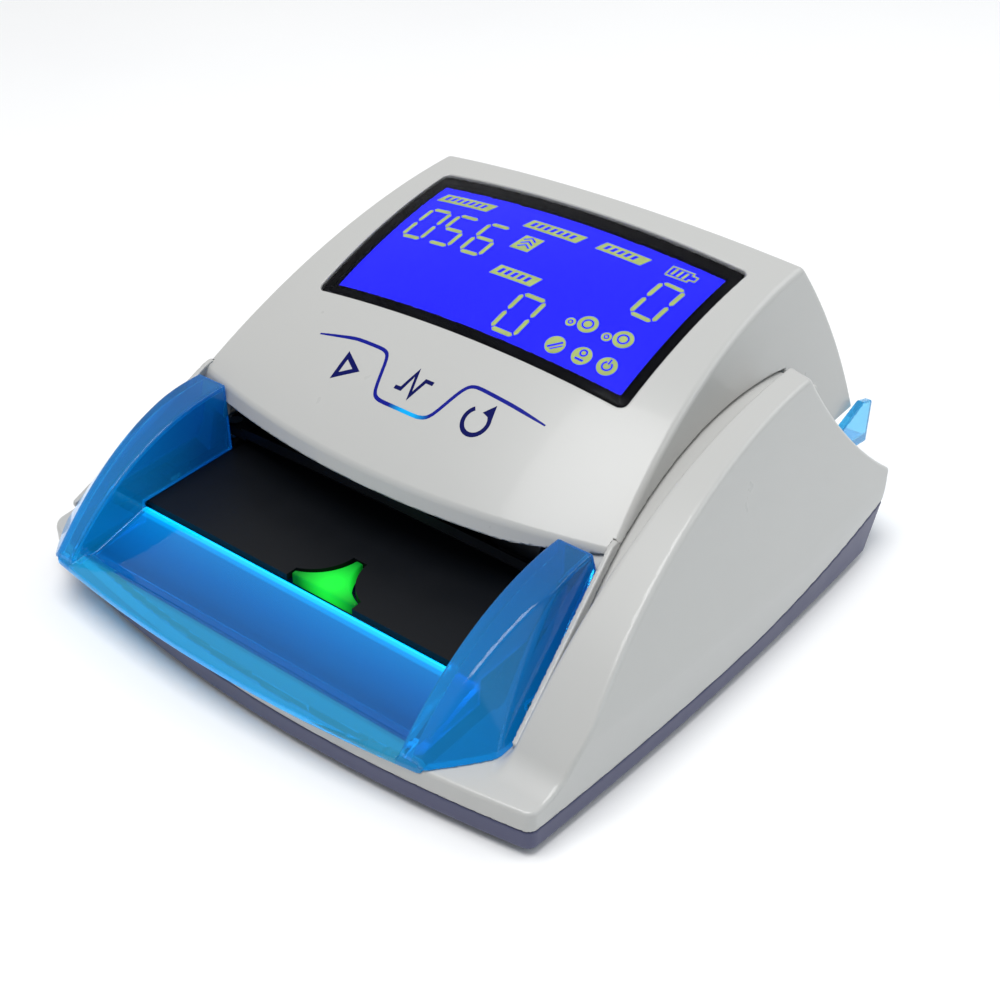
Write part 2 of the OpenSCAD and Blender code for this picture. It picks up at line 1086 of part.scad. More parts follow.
module display_bezel() {
    color("#101013")
        place()
            dome_plate(0.9, 3.2)
                difference() {
                    block([-lens_half, lens_half], lens_y, [30, 70]);
                    block([-lcd_half, lcd_half], lcd_y, [20, 80]);
                }
}

module display_lens() {
    color("#cfd6e6")
        place()
            dome_plate(0, 0.9)
                block([-lens_half, lens_half], lens_y, [30, 70]);
}

module lcd_panel() {
    color("#2a2af0")
        place()
            dome_plate(1.5, 3)
                block([-lcd_half + 0.1, lcd_half - 0.1], [lcd_y[0] + 0.1, lcd_y[1] - 0.1], [30, 70]);
}

module display_board() {
    color("#1d6b3c")
        place()
            translate([0, 27, 42.5])
                rotate([14.5, 0, 0]) {
                    block([-38, 38], [-19, 20], [0, 1.4]);
                    block([-30, -20], [-10, 6], [-2.2, EPS]);
                    block([4, 16], [-8, 4], [-1.6, EPS]);
                    block([-6, 22], [14, 18], [-4, EPS]);
                }
}

module touch_keys() {
    color("#c08a3a")
        place()
            for (p = key_spots)
                dome_plate(wall + 0.02, wall + 0.3)
                    post(p[0], p[1], 20, 60, 4.5);
}

module key_symbols() {
    color("#1c2a7a")
        place()
            dome_plate(0, 0.36)
                translate([0, 0, 20])
                    linear_extrude(40)
                        symbol_outlines(0);
}

module key_light_line() {
    color("#2040d8")
        place()
            dome_plate(0, 0.88)
                translate([0, 0, 20])
                    linear_extrude(40)
                        band(key_line, 1.1);
}

module upper_guide() {
    color("#15171c")
        place()
            difference() {
                union() {
                    intersection() {
                        behind_lip(wall + 0.4);
                        along_x(-43.4, 43.4)
                            polygon([
                                [58, guide_z], [58, guide_z + 1.5], [-17.4, guide_z + 1.5],
                                [-24.6, 24.4], [-26, 23.4], [-18.2, guide_z]
                            ]);
                    }
                    for (s = guide_spots)
                        post(s[0], s[1], guide_z + 1, 27.8, post_r);
                    for (x = [-37.6, 37.6], y = [front_y, rear_y])
                        block([x - 0.9, x + 0.9], [y - 3, y + 3], [guide_z + 1, 20.6]);
                    both_sides()
                        block([42, 49.3], [catch_y - 2.6, catch_y + 2.6], [guide_z + 0.3, 17.8]);
                }
                for (x = roller_x, y = [front_y, rear_y])
                    block([x - 7, x + 7], [y - 4.6, y + 4.6], [10, 25]);
                for (y = [front_y, rear_y])
                    rod(-50, 50, y, idler_z, 1.26);
                for (s = guide_spots) {
                    post(s[0], s[1], 10, 17.2, 2.5);
                    post(s[0], s[1], 10, 30, 1.3);
                }
                both_sides()
                    post(catch_x, catch_y, 10, 30, 1.75);
                block([-8.3, 8.3], [-0.3, 6.3], [10, 25]);
                block([-38, 38], [16, 21], [10, 25]);
                block([-38, 38], [29, 32.5], [10, 25]);
            }
}

module guide_screws() {
    color("silver")
        place()
            for (s = guide_spots) {
                post(s[0], s[1], 15.6, 17.2, 2.2);
                post(s[0], s[1], 17.2 - EPS, 33.5, 1);
            }
}

module magnetic_head() {
    color("#c9a94e")
        place() {
            along_x(-8, 8)
                polygon([[0, 16.4], [1.2, 15.4], [4.8, 15.4], [6, 16.4], [6, 21.5], [0, 21.5]]);
            block([-11, 11], [0.5, 5.5], [21.5 - EPS, 22.6]);
        }
}

module image_sensor_bar() {
    color("#23252b")
        place() {
            block([-40, 40], [13, 24], [16.75, 21.5]);
            block([-37.6, 37.6], [16.4, 20.6], [15.6, 16.8]);
        }
}

module uv_light_bar() {
    color("#6d4bd8")
        place() {
            block([-40, 40], [27.5, 33.6], [16.75, 20]);
            block([-37.6, 37.6], [29.4, 32.1], [15.6, 16.8]);
        }
}

module catch_magnets() {
    color("#6a6f75")
        place()
            both_sides()
                post(catch_x, catch_y, 13.8, 17.6, 1.7);
}

module pinch_springs() {
    color("#c8ccd0")
        place()
            for (x = [-40.6, 39.2], y = [front_y, rear_y])
                along_x(x, x + 1.4)
                    polygon([
                        [y - 2.4, 19.6], [y + 2.2, 19.6], [y + 5.4, 16.72], [y + 7.6, 16.72], [y + 7.6, 17],
                        [y + 5.6, 17], [y + 2.4, 19.9], [y - 2.4, 19.9]
                    ]);
}

module idler_set(y) {
    roller_set(y, idler_z, idler_r, 1.2);
    rod(-40.7, 40.7, y, idler_z, 1.2);
}

module front_idler() {
    color("#3a3d43")
        place()
            idler_set(front_y);
}

module rear_idler() {
    color("#3a3d43")
        place()
            idler_set(rear_y);
}

module hood_ribbon() {
    color("#b7bcc4")
        place()
            along_x(-6, 8)
                polygon([
                    [44.4, 40.4], [56, 41], [59, 36], [61, 27], [61.4, 27], [59.4, 36.4], [56.4, 41.5],
                    [44.4, 40.9]
                ]);
}

// ---------- assembly ----------

base_pan();
rubber_feet();
base_screws();
battery_cover();
battery_cover_screw();
battery_pack();
body_shell();
inlet_tray();
exit_tray();
note_deck();
inlet_light();
lower_sensor_window();
lower_sensor_board();
main_board();
buzzer();
side_frame_left();
side_frame_right();
shaft_bushes();
motor_bracket();
drive_motor();
reduction_stud();
drive_belt();
strike_plates();
hinge_brackets();
hinge_pins();
power_inlet();
data_port();
switch_body();
base_ribbon();
rear_shaft();
rear_rollers();
rear_pulley();
drive_gear();
front_shaft();
front_rollers();
front_pulley();
reduction_gear();
motor_pinion();
power_slider();
hood_shell();
display_bezel();
display_lens();
lcd_panel();
display_board();
touch_keys();
key_symbols();
key_light_line();
upper_guide();
guide_screws();
magnetic_head();
image_sensor_bar();
uv_light_bar();
catch_magnets();
pinch_springs();
hood_ribbon();
front_idler();
rear_idler();
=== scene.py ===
import itertools
import json
import math
import bmesh
import bpy
import numpy as np
from mathutils import Matrix, Vector


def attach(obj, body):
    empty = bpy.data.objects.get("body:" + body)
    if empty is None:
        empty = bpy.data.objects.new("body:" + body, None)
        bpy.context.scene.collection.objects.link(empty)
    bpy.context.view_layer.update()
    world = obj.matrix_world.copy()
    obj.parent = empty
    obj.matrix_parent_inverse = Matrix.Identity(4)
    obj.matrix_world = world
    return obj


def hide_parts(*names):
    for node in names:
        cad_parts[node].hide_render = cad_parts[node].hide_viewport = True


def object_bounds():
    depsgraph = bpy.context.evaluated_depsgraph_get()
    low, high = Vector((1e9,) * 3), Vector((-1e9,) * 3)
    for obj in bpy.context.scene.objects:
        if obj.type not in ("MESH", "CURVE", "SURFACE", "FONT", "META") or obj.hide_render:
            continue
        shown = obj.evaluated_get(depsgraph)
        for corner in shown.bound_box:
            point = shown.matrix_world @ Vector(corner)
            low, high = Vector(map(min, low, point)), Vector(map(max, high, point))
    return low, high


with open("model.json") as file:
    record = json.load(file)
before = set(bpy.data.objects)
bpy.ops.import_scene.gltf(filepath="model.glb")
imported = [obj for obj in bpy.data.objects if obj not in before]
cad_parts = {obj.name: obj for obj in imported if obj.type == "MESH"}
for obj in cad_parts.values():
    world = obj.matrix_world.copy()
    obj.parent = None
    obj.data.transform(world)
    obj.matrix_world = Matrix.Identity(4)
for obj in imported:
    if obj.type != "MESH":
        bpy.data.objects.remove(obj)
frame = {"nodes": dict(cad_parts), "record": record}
cad_low, cad_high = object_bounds()
NODES = frame["nodes"]

# Lengths below are millimetres in the drawing's frame: x to the right, y to the back, z up.
# ORIGIN is where that frame's zero lies in the row frame.
MM = 0.001
ORIGIN = np.array([
    (cad_low.x + cad_high.x) * 500 - 6.75,
    (cad_low.y + cad_high.y) * 500 - 2.2,
    cad_low.z * 1000 + 1.5,
])

WALL = 2.0
# lower shell and base pan
SIDE_LEAN = math.radians(16)
REAR_LEAN = math.radians(30)
REAR_X = 6.5
REAR_SPLIT = 60.4
SCOOP_AT = (55.9, 76.7, 30)
SCOOP_TURN = math.radians(127.7)
SCOOP_DIP = math.radians(50)
SCOOP_R = 28.9
SCOOP_LOW = 12.4
ARC = (28, -67.4)
ARC_R = 106
RIDGE_R = 115
PAN_SEAM = 4.5
POSTS = [(-38, -36), (38, -36), (-38, 52), (38, 52)]
COVER_SCREW = (59.2, 18.4)
SHAFT = (40, 9.3)
JACK = (45.8, 6.6)
FEET = [(-50, -48), (-50, 44), (62, -48), (62, 42)]
# hood and display
DOME_Y, DOME_Z = 62, -92.3
DOME_RING = 183
DOME_R = 333
SLOPE = 0.285
HINGE = (66, 20)
GUIDE_SPOTS = [(-40.2, -1), (40.2, -1), (-40.2, 53), (40.2, 53)]
LENS_HALF = 40.0
LENS_Y = (5.0, 49.2)
LENS_PLAY = 0.22
LCD_HALF = 37.5
LCD_Y = (7.9, 46.0)
# inlet tray
FLANK_LEAN = math.radians(50)
FIN_IN = 44.2


# ---------- solid fields: negative inside, positive outside ----------

def both(a, b, r=0.0):
    """Intersection of two solids, with the edge between them rounded to radius r."""
    if r <= 0:
        return np.maximum(a, b)
    return np.minimum(np.maximum(a, b), -r) + np.hypot(np.maximum(a + r, 0), np.maximum(b + r, 0))


def either(a, b, r=0.0):
    """Union of two solids, with the inner corner between them filled to radius r."""
    if r <= 0:
        return np.minimum(a, b)
    return np.maximum(np.minimum(a, b), r) - np.hypot(np.maximum(r - a, 0), np.maximum(r - b, 0))


def minus(a, b, r=0.0):
    return both(a, -b, r)


def slab(v, low, high):
    return np.maximum(low - v, v - high)


def brick(X, Y, Z, x, y, z):
    return np.maximum(np.maximum(slab(X, *x), slab(Y, *y)), slab(Z, *z))


def barrel(Y, Z, y, z, r):
    return np.hypot(Y - y, Z - z) - r


def rounded(X, Y, x, y, r):
    """Rounded rectangle over the ranges x and y."""
    qx = np.abs(X - sum(x) / 2) - (x[1] - x[0]) / 2 + r
    qy = np.abs(Y - sum(y) / 2) - (y[1] - y[0]) / 2 + r
    return np.hypot(np.maximum(qx, 0), np.maximum(qy, 0)) + np.minimum(np.maximum(qx, qy), 0) - r


def outline(U, V, points):
    """Signed distance to a closed outline in the plane (U, V)."""
    best = np.full(np.shape(U), 1e9)
    inside = np.zeros(np.shape(U), bool)
    for (ax, ay), (bx, by) in zip(points, points[1:] + points[:1]):
        ex, ey = bx - ax, by - ay
        t = np.clip(((U - ax) * ex + (V - ay) * ey) / (ex * ex + ey * ey), 0, 1)
        best = np.minimum(best, (U - ax - t * ex) ** 2 + (V - ay - t * ey) ** 2)
        if ey:
            inside ^= ((ay > V) != (by > V)) & (U < ex * (V - ay) / ey + ax)
    return np.where(inside, -1, 1) * np.sqrt(best)


# ---------- from a field to a mesh ----------

def polygonise(field, low, high, step):
    """Surface nets: one point in each cell that the surface crosses, one quad for each crossed grid edge."""
    low = np.array(low, float)
    counts = np.ceil((np.array(high, float) - low) / step).astype(int) + 1
    axes = [low[i] + step * np.arange(counts[i]) for i in range(3)]
    values = np.empty(counts, np.float32)
    for part in np.array_split(np.arange(counts[0]), max(1, int(counts.prod() // 600000))):
        values[part] = field(*np.meshgrid(axes[0][part], axes[1], axes[2], indexing="ij"))
    inside = values < 0
    cells = counts - 1
    filled = np.zeros(cells, np.int8)
    for o in itertools.product((0, 1), repeat=3):
        filled += inside[o[0]:o[0] + cells[0], o[1]:o[1] + cells[1], o[2]:o[2] + cells[2]]
    spots = np.argwhere((filled > 0) & (filled < 8))
    number = np.full(cells, -1, np.int64)
    number[tuple(spots.T)] = np.arange(len(spots))
    total = np.zeros((len(spots), 3))
    hits = np.zeros(len(spots))
    for axis in range(3):
        along = np.eye(3, dtype=int)[axis]
        for o in itertools.product((0, 1), repeat=3):
            if o[axis]:
                continue
            a = spots + o
            va, vb = values[tuple(a.T)], values[tuple((a + along).T)]
            cut = (va < 0) != (vb < 0)
            t = va[cut] / (va[cut] - vb[cut])
            total[cut] += np.array(o) + t[:, None] * along
            hits[cut] += 1
    points = low + step * (spots + total / hits[:, None])
    quads = []
    for axis in range(3):
        u, v = (axis + 1) % 3, (axis + 2) % 3
        first = [slice(None)] * 3
        second = [slice(None)] * 3
        first[axis], second[axis] = slice(0, -1), slice(1, None)
        one, two = inside[tuple(first)], inside[tuple(second)]
        at = np.argwhere(one != two)
        at = at[(at[:, u] > 0) & (at[:, v] > 0) & (at[:, u] < cells[u]) & (at[:, v] < cells[v])]
        eu, ev = np.eye(3, dtype=int)[u], np.eye(3, dtype=int)[v]
        ring = np.stack([number[tuple(p.T)] for p in (at - eu - ev, at - ev, at, at - eu)], 1)
        flip = ~one[tuple(at.T)]
        ring[flip] = ring[flip][:, ::-1]
        quads.append(ring)
    return points, np.concatenate(quads)


def gradient(field, points):
    reach = 0.02
    slope = np.empty_like(points)
    for i in range(3):
        d = np.zeros(3)
        d[i] = reach
        slope[:, i] = (field(*(points + d).T) - field(*(points - d).T)) / (2 * reach)
    return slope


def settle(field, points, step, rounds=3):
    """Moves the points onto the surface."""
    for _ in range(rounds):
        slope = gradient(field, points)
        share = field(*points.T) / np.maximum((slope ** 2).sum(1), 0.2)
        points = points - np.clip(share[:, None] * slope, -0.3 * step, 0.3 * step)
    return points


def fill_mesh(mesh, points, faces):
    faces = np.asarray(faces)
    mesh.vertices.add(len(points))
    mesh.vertices.foreach_set("co", np.asarray(points, np.float32).ravel())
    mesh.loops.add(faces.size)
    mesh.loops.foreach_set("vertex_index", faces.astype(np.int32).ravel())
    mesh.polygons.add(len(faces))
    mesh.polygons.foreach_set("loop_start", np.arange(0, faces.size, faces.shape[1], dtype=np.int32))
    mesh.update(calc_edges=True)
    mesh.validate()


def mesh_points(mesh):
    co = np.empty(len(mesh.vertices) * 3, np.float32)
    mesh.vertices.foreach_get("co", co)
    return co.reshape(-1, 3).astype(float)


def add(obj, body, material, nodes=()):
    obj.data.materials.clear()
    obj.data.materials.append(material)
    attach(obj, body)
    if nodes:
        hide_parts(*nodes)
    return obj


def new_object(name, data):
    obj = bpy.data.objects.new(name, data)
    bpy.context.scene.collection.objects.link(obj)
    return obj


def cast(name, field, low, high, step, keep, body, material, nodes=()):
    """A moulded piece from a field between the corners low and high.

    It is polygonised, thinned to the share keep of its faces, put back on the surface and smoothly shaded.
    """
    points, quads = polygonise(field, low, high, step)
    points = settle(field, points, step)
    mesh = bpy.data.meshes.new(name)
    fill_mesh(mesh, points, quads)
    obj = new_object(name, mesh)
    if keep < 1:
        thin = obj.modifiers.new("Thin", "DECIMATE")
        thin.ratio = keep
        mesh = bpy.data.meshes.new_from_object(obj.evaluated_get(bpy.context.evaluated_depsgraph_get()))
        obj.modifiers.clear()
        obj.data = mesh
    points = settle(field, mesh_points(mesh), step, 2)
    normals = gradient(field, points)
    normals /= np.maximum(np.linalg.norm(normals, axis=1), 1e-9)[:, None]
    mesh.vertices.foreach_set("co", ((points + ORIGIN) * MM).astype(np.float32).ravel())
    mesh.polygons.foreach_set("use_smooth", np.ones(len(mesh.polygons), bool))
    mesh.update()
    mesh.normals_split_custom_set_from_vertices(normals.tolist())
    mesh.name = name
    return add(obj, body, material, nodes)


# ---------- the solids ----------

def front_left(X, Y, inset):
    front = np.hypot(X - 15, Y - 239.7) - (309 - inset)
    left = np.hypot(X - 1138, Y - 5) - (1200 - inset)
    return both(front, left, max(3.0 - inset, 0.5))


def right(X, Y, Z, inset):
    upright = np.hypot(X + 874.5, Y - 30) - (950 - inset)
    dx, dz = X - 75.5, Z - 14
    leaning = np.hypot(dx * math.cos(SIDE_LEAN) + dz * math.sin(SIDE_LEAN) + 950, Y - 15) - (950 - inset)
    return both(upright, leaning, 0.6)


def plan(X, Y, Z, inset):
    return both(front_left(X, Y, inset), right(X, Y, Z, inset), max(1.6 - inset, 0.4))


def strip_edge(Y, Z):
    """Positive above the seam between the base pan and the lower body."""
    return np.where(Y < -10, Z - PAN_SEAM, 341 - np.hypot(Y + 10, Z - (341 + PAN_SEAM)))


def leaning_rear(X, Y, Z, inset):
    c, s = math.cos(REAR_LEAN), math.sin(REAR_LEAN)
    return np.hypot(X - REAR_X, (Y + 138.7) * c - Z * s) - (175.5 - inset)


def scoop(X, Y, Z, inset):
    """The sloping cylinder that hollows the rear of the wing."""
    flat = math.cos(SCOOP_DIP)
    axis = np.array([math.cos(SCOOP_TURN) * flat, math.sin(SCOOP_TURN) * flat, -math.sin(SCOOP_DIP)])
    rx, ry, rz = X - SCOOP_AT[0], Y - SCOOP_AT[1], Z - SCOOP_AT[2]
    along = rx * axis[0] + ry * axis[1] + rz * axis[2]
    away = np.sqrt(np.maximum(rx * rx + ry * ry + rz * rz - along * along, 1e-6))
    return np.maximum(away - (SCOOP_R + inset), SCOOP_LOW - inset - Z)


def body_volume(X, Y, Z, inset, soft):
    upright = np.hypot(X - REAR_X, Y + 81) - (152 - inset)
    rear = np.where(X < REAR_SPLIT, upright, leaning_rear(X, Y, Z, inset))
    sides = both(plan(X, Y, Z, inset), rear, soft)
    top = Z - (9 - inset)
    ledge = both(X + 52 + inset, both(-46 + inset - Y, Z - (12 - inset), soft), soft)
    valley = both(np.maximum(slab(X, 49.5 + inset, 60.5), slab(Y, -60, 46.2 - inset)),
                  barrel(Y, Z, *ARC, ARC_R - inset), soft)
    if inset:
        valley = minus(valley, scoop(X, Y, Z, inset))
    shelf = brick(X, Y, Z, (49.5 + inset, 61), (26.2, 58 - inset), (-5, 15 - inset))
    ridge = both(60 + inset - X, barrel(Y, Z, *ARC, RIDGE_R - inset), soft)
    wing = minus(ridge, scoop(X, Y, Z, inset), soft)
    f = either(top, ledge)
    f = either(f, wing, 3.0)
    f = either(f, either(valley, shelf), 0.4)
    return both(sides, f, soft)


def side_openings(X, Y, Z):
    """Power inlet and data port in the left wall."""
    jack = np.maximum(barrel(Y, Z, *JACK, 3.6), slab(X, -66, -55))
    port = np.maximum(rounded(Y, Z, (-35.2, -25.8), (4.2, 9.4), 0.5), slab(X, -66, -59))
    return np.minimum(jack, port)


def body_field(X, Y, Z):
    f = body_volume(X, Y, Z, 0, 0.9)
    f = both(f, -strip_edge(Y, Z), 0.35)
    f = minus(f, body_volume(X, Y, Z, WALL, 0.3), 0.2)
    tray = np.maximum(np.maximum(front_left(X, Y, WALL), slab(X, -49, 49)), 6 - Z)
    mouth = brick(X, Y, Z, (-49, 49), (-90, -55), (8, 60))
    note_path = brick(X, Y, Z, (-57, 49.5), (-47, 90), (6.9, 60))
    exit_slot = brick(X, Y, Z, (-REAR_SPLIT, REAR_SPLIT), (58.1, 90), (2, 60))
    rear_gap = brick(X, Y, Z, (-57, 49.5), (54, 90), (2, 60))
    shaft_hole = np.maximum(barrel(Y, Z, *SHAFT, 2.4), slab(X, 48, 53))
    slider_slot = np.maximum(rounded(Y, Z, (-6, 6), (6.4, 10), 0.6), slab(X, -66, -59))
    cuts = [(tray, 0.2), (mouth, 0.2), (note_path, 0.3), (exit_slot, 0.3), (rear_gap, 0.2), (shaft_hole, 0),
            (side_openings(X, Y, Z), 0.25), (slider_slot, 0.25)]
    for cut, soft in cuts:
        f = minus(f, cut, soft)
    return f


def pan_volume(X, Y, Z, inset, soft):
    return both(plan(X, Y, Z, inset), leaning_rear(X, Y, Z, inset), soft)


def pan_field(X, Y, Z):
    f = both(pan_volume(X, Y, Z, 0, 0.8), strip_edge(Y, Z), 0.35)
    f = both(f, -Z, 0.9)
    inner = both(pan_volume(X, Y, Z, WALL, 0.4), WALL - Z, 0.3)
    f = minus(f, inner, 0.2)
    exit_slot = brick(X, Y, Z, (-REAR_SPLIT, REAR_SPLIT), (46, 90), (7.4, 60))
    f = minus(f, exit_slot, 0.2)
    for x, y in POSTS:
        away = np.hypot(X - x, Y - y)
        f = either(f, np.maximum(away - 3.6, slab(Z, 1, 4.8)), 0.3)
        f = minus(f, away - 1.4)
        f = minus(f, np.maximum(away - 2.6, Z - 1.2), 0.15)
    for x, y in itertools.product((-34, 34), (0, 28)):
        f = either(f, np.maximum(np.hypot(X - x, Y - y) - 2.5, slab(Z, 1, 4)), 0.3)
    to_screw = np.hypot(X - COVER_SCREW[0], Y - COVER_SCREW[1])
    battery_hole = brick(X, Y, Z, (53.5, 65), (-26, 13.6), (-1, 5))
    cover_seat = np.maximum(rounded(X, Y, (51.8, 66.7), (-28.2, 21.6), 0.8), Z - 1.2)
    f = either(f, np.maximum(to_screw - 2.6, slab(Z, 1, 6)), 0.3)
    f = minus(f, battery_hole)
    f = minus(f, cover_seat, 0.15)
    f = minus(f, np.maximum(to_screw - 1.15, Z - 7))
    for i in range(7):
        rows = (-24.6 + i * 3.2, -23.2 + i * 3.2)
        f = minus(f, np.maximum(rounded(X, Y, (-14, 14), rows, 0.7), Z - 0.7), 0.2)
    return minus(f, side_openings(X, Y, Z), 0.25)


def dome(X, Y, Z, inset):
    """The hood's crown, curved both ways."""
    return np.hypot(np.hypot(Y - DOME_Y, Z - DOME_Z) + DOME_RING, X) - (DOME_R - inset)


def hood_sides(X, Z, inset):
    return (np.abs(X) - (47.5 + SLOPE * (54.4 - Z))) / math.sqrt(1 + SLOPE * SLOPE) + inset


def lip(X, Y, Z, inset):
    """Front band under the hood's lower crease, leaning forward a little."""
    return (-26.75 + 0.3 * (Z - 26.2) + 0.0027 * X * X - Y) / np.sqrt(1.09 + (0.0054 * X) ** 2) + inset


def hood_volume(X, Y, Z, inset, soft):
    f = both(dome(X, Y, Z, inset), hood_sides(X, Z, inset), soft)
    f = both(f, barrel(Y, Z, -8.6, 12, 80 - inset), soft)
    return both(f, lip(X, Y, Z, inset), soft * 0.5)


def under_hood(X, Y, Z):
    """The space the hood's foot keeps clear of."""
    behind = brick(X, Y, Z, (0, 90), (46.2, 110), (-20, 18.5))
    arc = np.maximum(barrel(Y, Z, *ARC, ARC_R + 0.5), slab(Y, -90, 46.8))
    low = np.maximum(slab(Y, -90, 46.8), np.minimum(Z - 9.5, np.maximum(Z - 20, 59.8 - X)))
    right_foot = np.maximum(np.minimum(behind, np.minimum(arc, low)), -X)
    left_foot = outline(Y, Z, [(-90, -20), (110, -20), (110, 18.5), (56, 18.5), (50, 12.5), (-46.5, 12.5),
                               (-46.5, 9.5), (-90, 9.5)])
    return np.minimum(right_foot, np.maximum(left_foot, X))


def hood_field(X, Y, Z):
    f = minus(hood_volume(X, Y, Z, 0, 1.1), hood_volume(X, Y, Z, WALL, 0.4))
    tongue = both(minus(hood_sides(X, Z, 0), hood_sides(X, Z, 1.2)),
                  outline(Y, Z, [(-18, 30.6), (-54, 11.2), (-54, 5), (-16, 5), (-16, 31)]), 0.25)
    f = np.minimum(f, tongue)
    f = minus(f, under_hood(X, Y, Z), 0.35)
    f = minus(f, brick(X, Y, Z, (-44.5, 44.5), (-60, 0), (-10, 25.8)), 0.35)
    f = minus(f, brick(np.abs(X), Y, Z, (44, 50), (-30, -12), (-10, 22.2)), 0.2)
    ear = np.minimum(barrel(Y, Z, *HINGE, 4), outline(Y, Z, [(62, 20), (70, 20), (67, 42), (56, 42)]))
    inner = np.maximum(ear, slab(np.abs(X), 49.4, 51.4))
    for x, y in GUIDE_SPOTS:
        inner = np.minimum(inner, np.maximum(np.hypot(X - x, Y - y) - 3, 27.9 - Z))
    f = either(f, np.maximum(inner, hood_volume(X, Y, Z, 1, 0.4)), 0.3)
    f = minus(f, np.maximum(barrel(Y, Z, *HINGE, 1.56), slab(np.abs(X), 40, 53)))
    for x, y in GUIDE_SPOTS:
        f = minus(f, np.maximum(np.hypot(X - x, Y - y) - 1.05, Z - 34.5))
    half = LENS_HALF + LENS_PLAY
    window = rounded(X, Y, (-half, half), (LENS_Y[0] - LENS_PLAY, LENS_Y[1] + LENS_PLAY), 1.7)
    return minus(f, np.maximum(window, 30 - Z), 0.4)


def lens_field(X, Y, Z):
    f = both(dome(X, Y, Z, 0), rounded(X, Y, (-LENS_HALF, LENS_HALF), LENS_Y, 1.6), 0.25)
    return minus(f, dome(X, Y, Z, 0.9))


def border_field(X, Y, Z):
    f = both(dome(X, Y, Z, 0.9), rounded(X, Y, (-LENS_HALF, LENS_HALF), LENS_Y, 1.6))
    f = minus(f, dome(X, Y, Z, 3.2))
    return minus(f, rounded(X, Y, (-LCD_HALF, LCD_HALF), LCD_Y, 0.5), 0.1)


def lcd_field(X, Y, Z):
    play = 0.1
    sides = (-LCD_HALF + play, LCD_HALF - play)
    f = both(dome(X, Y, Z, 1.5), rounded(X, Y, sides, (LCD_Y[0] + play, LCD_Y[1] - play), 0.4))
    return minus(f, dome(X, Y, Z, 3))


def fin_volume(X, Y, Z, inset, bottom, soft):
    """Both side fins of the inlet tray, down to the height bottom."""
    A = np.abs(X)
    c, s = math.cos(FLANK_LEAN), math.sin(FLANK_LEAN)
    crest = barrel(Y, Z, -23, -29.8, 60 - inset)
    flank = np.hypot(Y + 17.65, A * s + Z * c + 25.54) - (85.6 - inset)
    f = both(crest, flank, soft)
    f = both(f, hood_sides(X, Z, 2.1 + inset), soft)
    f = both(f, np.maximum(FIN_IN + inset - A, bottom - Z), soft)
    return both(f, slab(Y, -67.5 + inset, -21.2 + 2 * inset), soft)


def tray_field(X, Y, Z):
    low = np.maximum(fin_volume(X, Y, Z, 0, 8, 0.4), Y + 47)
    f = np.minimum(low, fin_volume(X, Y, Z, 0, 13.7, 0.4))
    f = minus(f, fin_volume(X, Y, Z, 1.8, -5, 0.2), 0.2)
    f = minus(f, brick(np.abs(X), Y, Z, (49, 90), (-90, 0), (-5, 9.15)))
    f = minus(f, np.maximum(barrel(Y, Z, *ARC, ARC_R + 0.15), 49 - X), 0.2)
    f = minus(f, brick(X, Y, Z, (-80, -56.8), (-46.2, 0), (0, 12.15)), 0.2)
    profile = outline(Y, Z, [(-75, 8), (-63.6, 8), (-60, 7.4), (-46.6, 10.9), (-46.6, 12.5), (-47.8, 12.5),
                             (-61.6, 9.1), (-63, 9.1), (-63.4, 9.9), (-75, 9.7)])
    floor = np.maximum(profile, slab(X, -44.3, 44.3))
    flange = brick(X, Y, Z, (-48.6, 48.6), (-75, -66), (8, 9.7))
    front = np.hypot(X, Y - 250.4) - 322
    return either(f, both(np.minimum(floor, flange), front, 0.5), 0.3)


def exit_field(X, Y, Z):
    A = np.abs(X)
    floor = np.maximum(outline(Y, Z, [(60.6, 12), (76, 9.2), (76, 7.6), (60.6, 10.4)]), slab(X, -58.3, 58.3))
    cheek = both(outline(Y, Z, [(58.4, 10.9), (58.4, 16), (71.5, 20), (76, 18.4), (76, 7.6)]),
                 slab(A, 58.2, 60), 0.35)
    skirt = minus(pan_volume(X, Y, Z, 0.2, 0.4), pan_volume(X, Y, Z, WALL, 0.4))
    skirt = np.maximum(skirt, outline(Y, Z, [(58.4, 7.45), (76, 7.45), (76, 8), (60.6, 11), (58.4, 11.6)]))
    skirt = np.maximum(skirt, slab(X, -60, 60))
    f = np.minimum(either(floor, cheek, 0.5), skirt)
    return minus(f, brick(A, Y, Z, (47.3, 49.6), (50, 70.6), (0, 25)), 0.15)


def bell_field(X, Y, Z):
    """Light pipe at the mouth: a bell shape in plan, with a softly rounded top."""
    A = np.abs(X - 5)
    f = both(np.hypot(A, Y + 43.5) - 10.5, np.maximum(A - 8.4, slab(Y, -44.8, -34)), 0.3)
    f = minus(f, np.hypot(A - 12.0, Y + 33.2) - 11.2, 0.15)
    return both(f, slab(Z, 10.4, 13.5), 0.5)


def feet_field(X, Y, Z):
    f = np.full(np.shape(X), 1e3)
    for x, y in FEET:
        away = np.hypot(X - x, Y - y)
        foot = both(away - 5, slab(Z, -1.5, 0), 0.45)
        f = np.minimum(f, minus(foot, np.maximum(away - 3.1, -1.15 - Z), 0.2))
    return f


def slider_field(X, Y, Z):
    f = both(slab(X, -61.8, -60.1), rounded(Y, Z, (-4.2, 1.2), (6.8, 9.6), 0.5), 0.3)
    for i in range(4):
        f = minus(f, np.maximum(slab(Y, -3.1 + i, -2.6 + i), X + 61.35), 0.12)
    stem = brick(X, Y, Z, (-60.4, -57.8), (-2.7, -0.3), (7.3, 9.1))
    return either(f, stem, 0.2)


# ---------- thin markings that follow the hood's crown ----------

